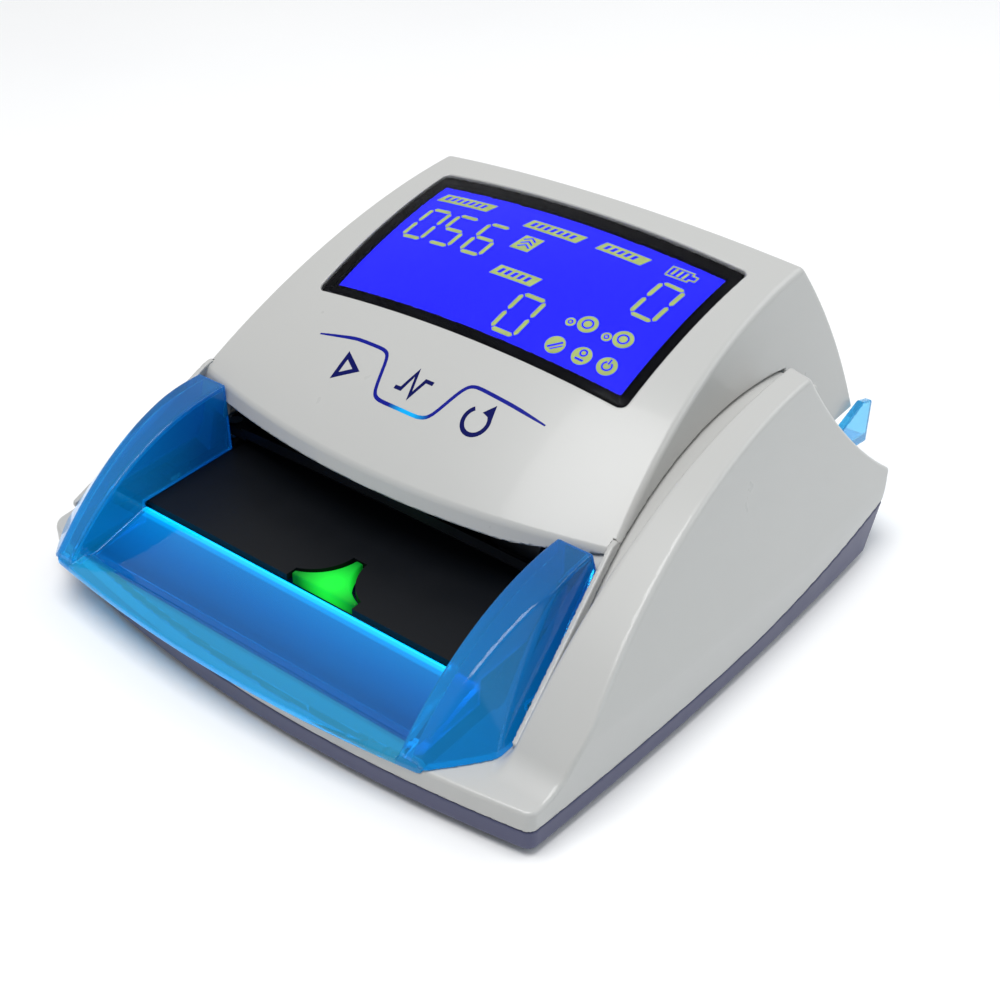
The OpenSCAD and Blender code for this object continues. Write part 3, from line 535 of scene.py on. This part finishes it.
def crown(x, y, depth):
    """Height of the hood's crown at (x, y), the given depth under its surface."""
    reach = np.sqrt((DOME_R - depth) ** 2 - x * x) - DOME_RING
    return DOME_Z + math.sqrt(reach * reach - (y - DOME_Y) ** 2)


def inlay(name, shapes, high, low, body, material, nodes=(), cell=1.5):
    """Flat outlines laid on the crown, from depth low to depth high, in cells small enough to follow it."""
    bm = bmesh.new()
    for pts in shapes:
        bm.faces.new([bm.verts.new((x, y, 0)) for x, y in pts])
    for i, direction in enumerate((Vector((1, 0, 0)), Vector((0, 1, 0)))):
        extent = [p[i] for pts in shapes for p in pts]
        for v in np.arange(min(extent) + cell, max(extent), cell):
            bmesh.ops.bisect_plane(bm, geom=bm.verts[:] + bm.edges[:] + bm.faces[:], dist=1e-5,
                                   plane_co=direction * v, plane_no=direction)
    bmesh.ops.remove_doubles(bm, verts=bm.verts, dist=1e-3)
    for v in bm.verts:
        v.co.z = low
    made = bmesh.ops.extrude_face_region(bm, geom=bm.faces[:], use_keep_orig=True)
    for v in made["geom"]:
        if isinstance(v, bmesh.types.BMVert):
            v.co.z = high
    for v in bm.verts:
        x, y = v.co.x, v.co.y
        v.co = Vector((np.array([x, y, crown(x, y, v.co.z)]) + ORIGIN) * MM)
    bmesh.ops.recalc_face_normals(bm, faces=bm.faces[:])
    mesh = bpy.data.meshes.new(name)
    bm.to_mesh(mesh)
    bm.free()
    return add(new_object(name, mesh), body, material, nodes)


def soften(points, rounds=2):
    """Cuts the corners of an open line."""
    for _ in range(rounds):
        cut = [points[0]]
        for a, b in zip(points, points[1:]):
            length = math.dist(a, b)
            t = min(0.25, 1.0 / length)
            cut += [tuple(np.array(a) + (np.array(b) - a) * t), tuple(np.array(b) - (np.array(b) - a) * t)]
        points = cut + [points[-1]]
    return points


def ribbon(points, width, taper=0.0):
    """Quads along a line with mitred corners; the two ends narrow by the taper's length."""
    p = np.array(points, float)
    d = np.diff(p, axis=0)
    length = np.linalg.norm(d, axis=1)
    n = np.stack([-d[:, 1], d[:, 0]], 1) / length[:, None]
    before, after = np.vstack([n[:1], n]), np.vstack([n, n[-1:]])
    side = before + after
    side /= np.linalg.norm(side, axis=1)[:, None]
    side /= 2 * np.maximum((side * after).sum(1), 0.4)[:, None]
    run = np.concatenate([[0], np.cumsum(length)])
    w = width * np.ones(len(p))
    if taper:
        w *= 0.45 + 0.55 * np.clip(np.minimum(run, run[-1] - run) / taper, 0, 1)
    left_side, right_side = p + side * w[:, None], p - side * w[:, None]
    return [[tuple(right_side[i]), tuple(right_side[i + 1]), tuple(left_side[i + 1]), tuple(left_side[i])]
            for i in range(len(p) - 1)]


def ring(x, y, inner, outer, start=0, end=360):
    angles = np.radians(np.linspace(start, end, 33))
    at = [(math.cos(a), math.sin(a)) for a in angles]
    return [[(x + a[0] * inner, y + a[1] * inner), (x + a[0] * outer, y + a[1] * outer),
             (x + b[0] * outer, y + b[1] * outer), (x + b[0] * inner, y + b[1] * inner)]
            for a, b in zip(at, at[1:])]


def disc(x, y, r):
    n = 28
    angles = [2 * math.pi * i / n for i in range(n)]
    return [[(x + r * math.cos(a), y + r * math.sin(a)) for a in angles]]


def bar(x, y, w, h, lean=0.0):
    """Upright or slanting bar with its centre at (x, y)."""
    return [[(x - w / 2 - lean * h / 2, y - h / 2), (x + w / 2 - lean * h / 2, y - h / 2),
             (x + w / 2 + lean * h / 2, y + h / 2), (x - w / 2 + lean * h / 2, y + h / 2)]]


SEGMENT_WIDTH = 1.0
SEGMENT_GAP = 0.28
DIGIT_LEAN = 0.06
DIGITS = {"0": "abcdef", "1": "bc", "2": "abged", "3": "abgcd", "4": "fgbc", "5": "afgcd", "6": "afgedc"}


def digit(x, y, w, h, value):
    """Seven-segment digit with its centre at (x, y)."""
    t = SEGMENT_WIDTH
    hw, hh = w / 2 - t / 2, h / 2 - t / 2
    spans = {
        "a": ((-hw, hh), (hw, hh)), "g": ((-hw, 0), (hw, 0)), "d": ((-hw, -hh), (hw, -hh)),
        "b": ((hw, hh), (hw, 0)), "c": ((hw, 0), (hw, -hh)),
        "f": ((-hw, hh), (-hw, 0)), "e": ((-hw, 0), (-hw, -hh)),
    }
    shapes = []
    for name in DIGITS[value]:
        a, b = (np.array(p, float) for p in spans[name])
        d = (b - a) / np.linalg.norm(b - a)
        n = np.array([-d[1], d[0]]) * t / 2
        a, b = a + d * SEGMENT_GAP, b - d * SEGMENT_GAP
        pts = [a, a + d * t / 2 - n, b - d * t / 2 - n, b, b - d * t / 2 + n, a + d * t / 2 + n]
        shapes.append([(x + p[0] + DIGIT_LEAN * p[1], y + p[1]) for p in pts])
    return shapes


# ---------- materials ----------

def nodes_of(name):
    m = bpy.data.materials.new(name)
    m.use_nodes = True
    tree = m.node_tree
    shader = tree.nodes["Principled BSDF"]
    place = tree.nodes.new("ShaderNodeTexCoord")
    return m, tree, shader, place.outputs["Object"]


def noise(tree, place, scale, detail=3.0, rough=0.55, stretch=None):
    source = place
    if stretch:
        mapping = tree.nodes.new("ShaderNodeMapping")
        mapping.inputs["Scale"].default_value = stretch
        tree.links.new(place, mapping.inputs["Vector"])
        source = mapping.outputs["Vector"]
    n = tree.nodes.new("ShaderNodeTexNoise")
    n.inputs["Scale"].default_value = scale
    n.inputs["Detail"].default_value = detail
    n.inputs["Roughness"].default_value = rough
    tree.links.new(source, n.inputs["Vector"])
    return n.outputs["Fac"]


def spread(tree, value, low, high, start=0.3, end=0.7):
    n = tree.nodes.new("ShaderNodeMapRange")
    n.inputs["From Min"].default_value = start
    n.inputs["From Max"].default_value = end
    n.inputs["To Min"].default_value = low
    n.inputs["To Max"].default_value = high
    tree.links.new(value, n.inputs["Value"])
    return n.outputs["Result"]


def blend_colour(tree, factor, a, b):
    n = tree.nodes.new("ShaderNodeMix")
    n.data_type = "RGBA"
    for socket, value in ((6, a), (7, b)):
        if isinstance(value, tuple):
            n.inputs[socket].default_value = (*value, 1)
        else:
            tree.links.new(value, n.inputs[socket])
    tree.links.new(factor, n.inputs[0])
    return n.outputs[2]


def bump(tree, shader, height, strength, distance):
    n = tree.nodes.new("ShaderNodeBump")
    n.inputs["Strength"].default_value = strength
    n.inputs["Distance"].default_value = distance
    tree.links.new(height, n.inputs["Height"])
    tree.links.new(n.outputs["Normal"], shader.inputs["Normal"])


def shade(colour, k):
    return tuple(min(1.0, c * k) for c in colour)


def plastic(name, colour, rough, vary=0.06, grain=0.12, grain_scale=1400, clear=0.0, ior=1.46, coat=0.0,
            gloss=0.5, inner=None, wear=0.18):
    """Moulded plastic: faint cloudy colour, uneven gloss, fine grain and, if inner is set, a painted inner
    glow.
    """
    m, tree, shader, place = nodes_of(name)
    cloud = spread(tree, noise(tree, place, 35, 4), 0, 1, 0.15, 0.85)
    body = blend_colour(tree, cloud, shade(colour, 1 - vary), shade(colour, 1 + vary))
    tree.links.new(body, shader.inputs["Base Color"])
    # inner is a painted glow: emission that stands in for light scattered inside the clear plastic
    if inner:
        tree.links.new(blend_colour(tree, cloud, shade(inner, 0.8), inner), shader.inputs["Emission Color"])
        shader.inputs["Emission Strength"].default_value = 1.0
    shader.inputs["Specular IOR Level"].default_value = gloss
    uneven = spread(tree, noise(tree, place, 120, 3), rough * (1 - wear), rough * (1 + wear), 0.1, 0.9)
    tree.links.new(uneven, shader.inputs["Roughness"])
    shader.inputs["IOR"].default_value = ior
    shader.inputs["Transmission Weight"].default_value = clear
    shader.inputs["Coat Weight"].default_value = coat
    shader.inputs["Coat Roughness"].default_value = 0.08
    bump(tree, shader, noise(tree, place, grain_scale, 2), grain, 0.00004)
    return m


def tray_plastic(name, colour, bands, fin_painted_light):
    """Clear blue plastic with painted light on its floor and in its fins; the fins' painted light fades away
    from the mouth.

    Each of the floor's bands is (y, colour of the painted light there).
    """
    m = plastic(name, colour, 0.07, 0.04, 0.02, 500, clear=0.8, ior=1.45, gloss=0.3)
    tree = m.node_tree
    shader = tree.nodes["Principled BSDF"]
    split = tree.nodes.new("ShaderNodeSeparateXYZ")
    tree.links.new(tree.nodes["Texture Coordinate"].outputs["Object"], split.inputs[0])
    # the floor's painted light follows y through the bands: dark bands are painted shade, bright bands
    # painted highlights
    front, rear = bands[0][0], bands[-1][0]
    along = spread(tree, split.outputs["Y"], 0, 1, (front + ORIGIN[1]) * MM, (rear + ORIGIN[1]) * MM)
    ramp = tree.nodes.new("ShaderNodeValToRGB").color_ramp
    while len(ramp.elements) < len(bands):
        ramp.elements.new(0.5)
    for stop, (y, light) in zip(ramp.elements, bands):
        stop.position = (y - front) / (rear - front)
        stop.color = (*light, 1)
    tree.links.new(along, tree.nodes["Color Ramp"].inputs["Fac"])
    offset = tree.nodes.new("ShaderNodeMath")
    offset.operation = "SUBTRACT"
    offset.inputs[1].default_value = ORIGIN[0] * MM
    tree.links.new(split.outputs["X"], offset.inputs[0])
    width = tree.nodes.new("ShaderNodeMath")
    width.operation = "ABSOLUTE"
    tree.links.new(offset.outputs[0], width.inputs[0])
    in_fin = spread(tree, width.outputs[0], 0, 1, (FIN_IN - 0.15) * MM, (FIN_IN - 0.05) * MM)
    to_mouth = spread(tree, split.outputs["Y"], 0, 1, (-58 + ORIGIN[1]) * MM, (-30 + ORIGIN[1]) * MM)
    # painted light in the fins: brighter at the mouth, darker further in as painted shade
    fin_painted_glow = blend_colour(tree, to_mouth, *fin_painted_light)
    lit = blend_colour(tree, in_fin, tree.nodes["Color Ramp"].outputs["Color"], fin_painted_glow)
    # the painted light and shade are given out as emission
    tree.links.new(lit, shader.inputs["Emission Color"])
    shader.inputs["Emission Strength"].default_value = 1.0
    return m


def metal(name, colour, rough, brush=(1, 60, 60)):
    """Metal with fine lines along one direction and faint tarnish."""
    vary = 0.12
    m, tree, shader, place = nodes_of(name)
    lines = noise(tree, place, 90, 5, 0.6, brush)
    cloud = spread(tree, noise(tree, place, 60, 4), 0, 1)
    tree.links.new(blend_colour(tree, cloud, shade(colour, 1 - vary), shade(colour, 1 + vary * 0.5)),
                   shader.inputs["Base Color"])
    tree.links.new(spread(tree, lines, rough * 0.7, rough * 1.3), shader.inputs["Roughness"])
    shader.inputs["Metallic"].default_value = 1.0
    bump(tree, shader, lines, 0.15, 0.00003)
    return m


def glowing(name, base, light, strength, low=0.85, high=1.1, scale=60, rough=0.35, upward=False):
    """Lit surface; where upward is set, only the faces that look up are lit."""
    m, tree, shader, place = nodes_of(name)
    cloud = spread(tree, noise(tree, place, scale, 3), low, high)
    tint = blend_colour(tree, spread(tree, noise(tree, place, scale * 2, 2), 0, 1), shade(base, 0.9), base)
    tree.links.new(tint, shader.inputs["Base Color"])
    lit = blend_colour(tree, cloud, shade(light, 0.6), light)
    if upward:
        facing = tree.nodes.new("ShaderNodeSeparateXYZ")
        tree.links.new(place.node.outputs["Normal"], facing.inputs[0])
        lit = blend_colour(tree, spread(tree, facing.outputs["Z"], 0, 1, 0.1, 0.3), (0.0, 0.0, 0.0), lit)
    tree.links.new(lit, shader.inputs["Emission Color"])
    shader.inputs["Emission Strength"].default_value = strength
    shader.inputs["Roughness"].default_value = rough
    shader.inputs["Specular IOR Level"].default_value = 0.08
    return m


def glow_spot(name, base, light, far, centre, reach):
    """Lit plastic that is brightest at one point and fades towards its edge."""
    m, tree, shader, place = nodes_of(name)
    gap = tree.nodes.new("ShaderNodeVectorMath")
    gap.operation = "DISTANCE"
    gap.inputs[1].default_value = tuple((np.array(centre) + ORIGIN) * MM)
    tree.links.new(place, gap.inputs[0])
    near = spread(tree, gap.outputs["Value"], 1.0, 0.0, 0.0015, reach * MM)
    tree.links.new(blend_colour(tree, spread(tree, noise(tree, place, 300, 3), 0, 1), shade(base, 0.8), base),
                   shader.inputs["Base Color"])
    tree.links.new(blend_colour(tree, near, far, light), shader.inputs["Emission Color"])
    shader.inputs["Emission Strength"].default_value = 0.9
    shader.inputs["Roughness"].default_value = 0.3
    shader.inputs["Specular IOR Level"].default_value = 0.1
    return m


def board(name):
    """Circuit board: solder mask over faint tracks, with tinned pads."""
    m, tree, shader, place = nodes_of(name)
    tracks = tree.nodes.new("ShaderNodeTexBrick")
    tracks.inputs["Scale"].default_value = 160
    tracks.inputs["Mortar Size"].default_value = 0.03
    tree.links.new(place, tracks.inputs["Vector"])
    dots = tree.nodes.new("ShaderNodeTexVoronoi")
    dots.inputs["Scale"].default_value = 420
    tree.links.new(place, dots.inputs["Vector"])
    pads = spread(tree, dots.outputs["Distance"], 1, 0, 0.16, 0.2)
    mask = blend_colour(tree, tracks.outputs["Fac"], (0.012, 0.12, 0.045), (0.02, 0.19, 0.07))
    tree.links.new(blend_colour(tree, pads, mask, (0.62, 0.6, 0.5)), shader.inputs["Base Color"])
    tree.links.new(spread(tree, pads, 0.38, 0.2, 0, 1), shader.inputs["Roughness"])
    bump(tree, shader, tracks.outputs["Fac"], 0.2, 0.00005)
    return m


def striped(name, a, b, scale, axis="X", rough=0.5):
    """Even stripes, as on a ribbon cable or a wrapped cell."""
    m, tree, shader, place = nodes_of(name)
    wave = tree.nodes.new("ShaderNodeTexWave")
    wave.bands_direction = axis
    wave.inputs["Scale"].default_value = scale
    wave.inputs["Distortion"].default_value = 0.3
    tree.links.new(place, wave.inputs["Vector"])
    tree.links.new(blend_colour(tree, wave.outputs["Fac"], a, b), shader.inputs["Base Color"])
    uneven = spread(tree, noise(tree, place, 200, 3), rough * 0.8, rough * 1.2)
    tree.links.new(uneven, shader.inputs["Roughness"])
    bump(tree, shader, wave.outputs["Fac"], 0.25, 0.0001)
    return m


WHITE = (0.49, 0.49, 0.477)
# painted light on the tray floor, by y: the dark bands are painted shade in the channel, the bright cyan
# bands at the rear edge a painted highlight
TRAY_PAINTED_LIGHT = [
    (-75, (0.01, 0.09, 0.13)), (-64.6, (0.01, 0.14, 0.19)), (-64.1, (0.0, 0.004, 0.03)),
    (-62.6, (0.0, 0.02, 0.10)), (-60, (0.0, 0.01, 0.06)), (-54, (0.0, 0.045, 0.16)),
    (-48.4, (0.0, 0.09, 0.24)), (-48.0, (0.0, 0.40, 0.70)), (-46.5, (0.0, 0.42, 0.75)),
]
# painted light for the fins: brighter at the mouth, darker towards the back as painted shade inside the
# machine
FIN_PAINTED_LIGHT = ((0.0, 0.055, 0.11), (0.0, 0.012, 0.05))
LOOKS = {
    "white_shell": plastic("white_shell", WHITE, 0.28, 0.012, 0.012, 1500, coat=0.2, wear=0.04),
    "slate_base": plastic("slate_base", (0.062, 0.066, 0.135), 0.36, 0.10, 0.25, 1600),
    "foot_rubber": plastic("foot_rubber", (0.022, 0.022, 0.024), 0.78, 0.2, 0.5, 900),
    "tray_blue": tray_plastic("tray_blue", (0.012, 0.30, 0.66), TRAY_PAINTED_LIGHT, FIN_PAINTED_LIGHT),
    # the exit tray's inner colour is a painted glow that stands in for light passing through the clear
    # plastic
    "exit_blue": plastic("exit_blue", (0.09, 0.56, 0.86), 0.07, 0.04, 0.02, 500, clear=0.84, ior=1.45,
                         inner=(0.0, 0.04, 0.08)),
    "black_guide": plastic("black_guide", (0.004, 0.005, 0.007), 0.45, 0.2, 0.2, 1500, gloss=0.2),
    "inlet_glow": glow_spot("inlet_glow", (0.005, 0.20, 0.02), (0.015, 1.0, 0.05), (0.0, 0.07, 0.005),
                            (5.5, -42.5, 13.0), 8.0),
    "dark_window": plastic("dark_window", (0.015, 0.025, 0.035), 0.08, 0.1, 0.02),
    "screw_steel": metal("screw_steel", (0.62, 0.62, 0.60), 0.28),
    "battery_wrap": striped("battery_wrap", (0.02, 0.13, 0.42), (0.03, 0.17, 0.5), 24, "Y", 0.3),
    "circuit_green": board("circuit_green"),
    "buzzer_black": plastic("buzzer_black", (0.018, 0.018, 0.018), 0.5, 0.1, 0.3),
    "frame_steel": metal("frame_steel", (0.60, 0.61, 0.62), 0.35, (60, 2, 60)),
    "bush_brass": metal("bush_brass", (0.72, 0.52, 0.22), 0.3),
    "motor_can": metal("motor_can", (0.55, 0.56, 0.57), 0.33, (60, 2, 2)),
    "shaft_steel": metal("shaft_steel", (0.66, 0.67, 0.68), 0.22, (2, 60, 60)),
    "belt_rubber": striped("belt_rubber", (0.014, 0.014, 0.015), (0.03, 0.03, 0.03), 160, "Y", 0.7),
    "socket_black": plastic("socket_black", (0.016, 0.016, 0.018), 0.38, 0.15, 0.3),
    "port_metal": metal("port_metal", (0.58, 0.58, 0.57), 0.3),
    "ribbon_grey": striped("ribbon_grey", (0.45, 0.46, 0.48), (0.62, 0.63, 0.65), 160, "X", 0.45),
    "roller_rubber": plastic("roller_rubber", (0.025, 0.025, 0.027), 0.75, 0.2, 0.5, 2200),
    "gear_plastic": plastic("gear_plastic", (0.74, 0.69, 0.55), 0.4, 0.05, 0.15),
    "pinion_brass": metal("pinion_brass", (0.75, 0.55, 0.25), 0.28),
    "slider_plastic": plastic("slider_plastic", (0.6, 0.6, 0.58), 0.4, 0.04, 0.2),
    "bezel_black": plastic("bezel_black", (0.002, 0.002, 0.003), 0.4, 0.2, 0.02, gloss=0.02),
    "display_glass": plastic("display_glass", (0.96, 0.97, 1.0), 0.03, 0.01, 0.0, clear=1.0, ior=1.1,
                             gloss=0.1),
    "lcd_blue": glowing("lcd_blue", (0.01, 0.01, 0.45), (0.010, 0.010, 0.95), 0.80, low=0.9, high=1.0,
                        scale=25, rough=0.4, upward=True),
    "key_copper": metal("key_copper", (0.75, 0.42, 0.2), 0.35),
    "key_ink": plastic("key_ink", (0.004, 0.006, 0.09), 0.4, 0.15, 0.02, gloss=0.05),
    "key_glow": glow_spot("key_glow", (0.003, 0.004, 0.09), (0.0, 0.5, 1.0), (0.002, 0.006, 0.2),
                          (1.2, -13.9, 37.1), 5.0),
    "head_metal": metal("head_metal", (0.72, 0.62, 0.38), 0.25),
    "sensor_black": plastic("sensor_black", (0.02, 0.022, 0.027), 0.4, 0.1, 0.25),
    "uv_housing": plastic("uv_housing", (0.13, 0.07, 0.36), 0.3, 0.1, 0.1),
    "magnet_grey": metal("magnet_grey", (0.4, 0.41, 0.43), 0.4),
    "idler_plastic": plastic("idler_plastic", (0.05, 0.053, 0.06), 0.5, 0.1, 0.3),
}
SEGMENTS = glowing("lcd_segments", (0.30, 0.36, 0.12), (0.26, 0.34, 0.09), 0.55)

for part in frame["record"]["subparts"]:
    data = NODES[part["node"]].data
    data.materials.clear()
    data.materials.append(LOOKS[part["material_slot"]])

# ---------- the pieces ----------

PIECES = [
    # name, field, corners of its space, step, share of faces kept, body, slot, CAD node it stands for
    ("hood_cover", hood_field, (-63, -57, 8), (63, 74, 59.5), 0.42, 0.35, "hood", "white_shell",
     "hood_shell"),
    ("lower_shell", body_field, (-64, -74, 3.4), (78, 72, 49), 0.5, 0.35, "base", "white_shell",
     "body_shell"),
    ("base_tub", pan_field, (-64, -74, -1), (78, 74, 13), 0.5, 0.4, "base", "slate_base", "base_pan"),
    ("inlet_tray_form", tray_field, (-62, -74, 6.4), (62, -19, 32), 0.42, 0.5, "base", "tray_blue",
     "inlet_tray"),
    ("exit_tray_form", exit_field, (-61.5, 57, 6), (61.5, 78, 21), 0.42, 0.5, "base", "exit_blue",
     "exit_tray"),
    ("display_window", lens_field, (-41, 4, 42), (41, 50.2, 59), 0.28, 0.4, "hood", "display_glass",
     "display_lens"),
    ("display_border", border_field, (-41, 4, 39), (41, 50.2, 58), 0.3, 0.4, "hood", "bezel_black",
     "display_bezel"),
    ("lcd_face", lcd_field, (-38.5, 7, 40), (38.5, 47, 58), 0.5, 0.4, "hood", "lcd_blue", "lcd_panel"),
    ("mouth_light", bell_field, (-5, -47, 9.5), (15, -32.5, 14.2), 0.3, 0.5, "base", "inlet_glow",
     "inlet_light"),
    ("foot_pads", feet_field, (-56, -54, -2.2), (68, 50, 0.7), 0.4, 0.5, "base", "foot_rubber",
     "rubber_feet"),
    ("slider_knob", slider_field, (-62.3, -4.8, 6.2), (-57.3, 1.8, 10.2), 0.16, 0.6, "slider",
     "slider_plastic", "power_slider"),
]
for name, field, low, high, step, keep, body, slot, node in PIECES:
    cast(name, field, low, high, step, keep, body, LOOKS[slot], [node])

# the lit line round the keys, then a triangle, a pulse and a reset ring on them
KEY_TOP, KEY_DEEP = -0.03, 0.3
KEY_LINE = [(-30.5, -5.1), (-20.9, -3.8), (-12.9, -4.1), (-11.3, -5.2), (-8.6, -12.8), (-6.8, -13.8),
            (4.3, -13.9), (6.4, -12.8), (9.1, -5.3), (10.8, -4.0), (20.6, -4.4), (28.9, -5.0)]
inlay("key_glow_line", ribbon(soften(KEY_LINE), 0.75, 6), KEY_TOP, KEY_DEEP, "hood",
      LOOKS["key_glow"], ["key_light_line"], 1.0)
OUTER_TRIANGLE = [(-15.0, -10.0), (-20.6, -6.8), (-20.6, -13.2)]
INNER_TRIANGLE = [(-17.0, -10.0), (-19.6, -8.5), (-19.6, -11.5)]
PULSE = [(-5.2, -10.2), (-3.6, -10.2), (-2.4, -6.0), (-0.8, -10.9), (0.5, -7.0), (2.4, -7.0)]
ARROWHEAD = [(18.6, -8.7), (17.7, -5.7), (15.9, -8.0)]
icons = []
for i in range(3):
    after = (i + 1) % 3
    icons.append([OUTER_TRIANGLE[i], OUTER_TRIANGLE[after], INNER_TRIANGLE[after], INNER_TRIANGLE[i]])
icons += ribbon(PULSE, 0.8) + ring(15.7, -10.0, 2.3, 3.2, -230, 50) + [ARROWHEAD]
inlay("key_icons", icons, KEY_TOP, KEY_DEEP, "hood", LOOKS["key_ink"], ["key_symbols"], 1.2)

# the display: digits, tags, dials, buttons and a battery sign, with the smaller marks cut out of them
TAGS = [(-27.7, 41.5, 14.2), (-2.5, 40.3, 14.2), (14.9, 40.9, 11.4), (-0.7, 24.1, 10.8)]
TAG_LEAN = 0.35
LARGE_DIALS = [(21.3, 19.4), (29.8, 19.6)]
SMALL_DIALS = [(17.8, 18.3), (26.5, 18.5)]
BUTTONS = [(18.6, 12.0), (25.0, 12.2), (30.9, 12.5)]
BATTERY = [(26.0, 39.9), (31.0, 40.3), (31.0, 41.1), (32.3, 41.2), (32.3, 42.7), (31.0, 42.7), (31.0, 43.5),
           (26.0, 43.1)]
marks = []
for x, value in ((-31.0, "0"), (-23.3, "5"), (-14.6, "6")):
    marks += digit(x, 31.3, 6.2, 11.4, value)
marks += digit(6.9, 15.2, 6.8, 11.4, "0") + digit(29.6, 31.9, 6.4, 12.0, "0")
for x, y, w in TAGS:
    marks += bar(x, y, w, 3.0, TAG_LEAN)
marks += bar(-5.1, 33.8, 4.8, 4.9, 0.2)
for large, small in zip(LARGE_DIALS, SMALL_DIALS):
    marks += ring(*large, 0.0, 2.2) + ring(*small, 0.0, 1.1)
for x, y in BUTTONS:
    marks += disc(x, y, 2.15)
marks += ribbon(BATTERY + BATTERY[:1], 0.35)
for i in range(3):
    marks += bar(27.2 + i * 1.3, 41.7, 0.55, 2.2, 0.1)
inlay("lcd_segments", marks, 1.42, 1.6, "hood", SEGMENTS, [], 2.0)

punched = []
pitch = 1.7
for x, y, w in TAGS:
    for i in range(int(w // pitch) - 1):
        punched += bar(x - w / 2 + pitch + i * pitch, y, 0.9, 1.5, TAG_LEAN)
for i in range(3):
    punched += ribbon([(-6.6, 32.3 + i * 1.2), (-5.0, 33.3 + i * 1.2), (-3.6, 32.4 + i * 1.2)], 0.4)
for x, y in LARGE_DIALS:
    punched += ring(x, y, 0.9, 1.3)
for x, y in SMALL_DIALS:
    punched += ring(x, y, 0.3, 0.6)
punched += ring(25.0, 12.9, 0.5, 0.9) + bar(25.0, 11.2, 2.0, 0.5)
punched += ribbon([(17.4, 10.9), (19.8, 13.1)], 0.5) + ribbon([(18.2, 10.6), (20.2, 12.4)], 0.3)
punched += ring(30.9, 12.5, 0.8, 1.2, 120, 420) + bar(30.9, 13.6, 0.4, 1.3)
inlay("lcd_cutouts", punched, 1.39, 1.45, "hood", LOOKS["lcd_blue"], [], 2.0)

# ---------- floor, lights, camera ----------

floor_mesh = bpy.data.meshes.new("floor")
bm = bmesh.new()
bmesh.ops.create_grid(bm, x_segments=8, y_segments=8, size=3.0)
bm.to_mesh(floor_mesh)
bm.free()
floor = new_object("floor", floor_mesh)
floor.location.z = cad_low.z
m, tree, shader, place = nodes_of("floor_paper")
cloud = spread(tree, noise(tree, place, 8, 3), 0, 1)
paper = blend_colour(tree, cloud, (0.93, 0.93, 0.935), (0.95, 0.95, 0.95))
tree.links.new(paper, shader.inputs["Base Color"])
shader.inputs["Roughness"].default_value = 0.8
floor_mesh.materials.append(m)

# a studio that darkens towards the front right
world = bpy.data.worlds.new("studio")
world.use_nodes = True
sky = world.node_tree
way = sky.nodes.new("ShaderNodeTexCoord")
tilted = sky.nodes.new("ShaderNodeVectorMath")
tilted.operation = "DOT_PRODUCT"
tilted.inputs[1].default_value = (0.82, -0.5, -0.28)
sky.links.new(way.outputs["Generated"], tilted.inputs[0])
side_shade = spread(sky, tilted.outputs["Value"], 0.0, 1.0, 0.9, -0.5)
studio = sky.nodes["Background"]
sky.links.new(blend_colour(sky, side_shade, (0.26, 0.28, 0.29), (0.95, 0.96, 0.97)), studio.inputs["Color"])
studio.inputs["Strength"].default_value = 0.62
bpy.context.scene.world = world
bpy.context.scene.view_settings.view_transform = "Standard"


def area(name, spot, aim, size, power, colour=(1, 1, 1)):
    data = bpy.data.lights.new(name, "AREA")
    data.shape = "RECTANGLE"
    data.size, data.size_y = size
    data.energy = power
    data.color = colour
    obj = new_object(name, data)
    obj.location = spot
    obj.rotation_mode = "QUATERNION"
    obj.rotation_quaternion = (Vector(aim) - Vector(spot)).to_track_quat("-Z", "Y")


area("key_light", (0.0, -0.16, 0.88), (0, 0, 0.02), (0.55, 0.55), 5.6)
area("rear_light", (0.45, 0.55, 0.6), (0, 0, 0.03), (0.8, 0.4), 1.8)
area("side_light", (0.75, -0.05, 0.30), (0, 0, 0.03), (0.4, 0.5), 0.5, (0.60, 0.84, 1.0))

# the camera, fitted to the edges in the photograph
CAMERA_AWAY = 348.3
turn, rise, roll = math.radians(40.08), math.radians(36.5), math.radians(-1.162)
back = Vector((math.sin(turn) * math.cos(rise), -math.cos(turn) * math.cos(rise), math.sin(rise)))
across = Vector((math.cos(turn), math.sin(turn), 0))
up = back.cross(across)
across, up = (math.cos(roll) * across + math.sin(roll) * up, -math.sin(roll) * across + math.cos(roll) * up)
camera_data = bpy.data.cameras.new("camera")
camera_data.sensor_width = 36
camera_data.lens = 57.03
camera_data.shift_x = 0.0505
camera_data.shift_y = 0.0272
camera_data.clip_start = 0.01
camera_data.clip_end = 20
camera = new_object("camera", camera_data)
turned = Matrix((across, up, back)).transposed().to_4x4()
turned.translation = (back * CAMERA_AWAY + Vector(ORIGIN)) * MM
camera.matrix_world = turned
bpy.context.scene.camera = camera
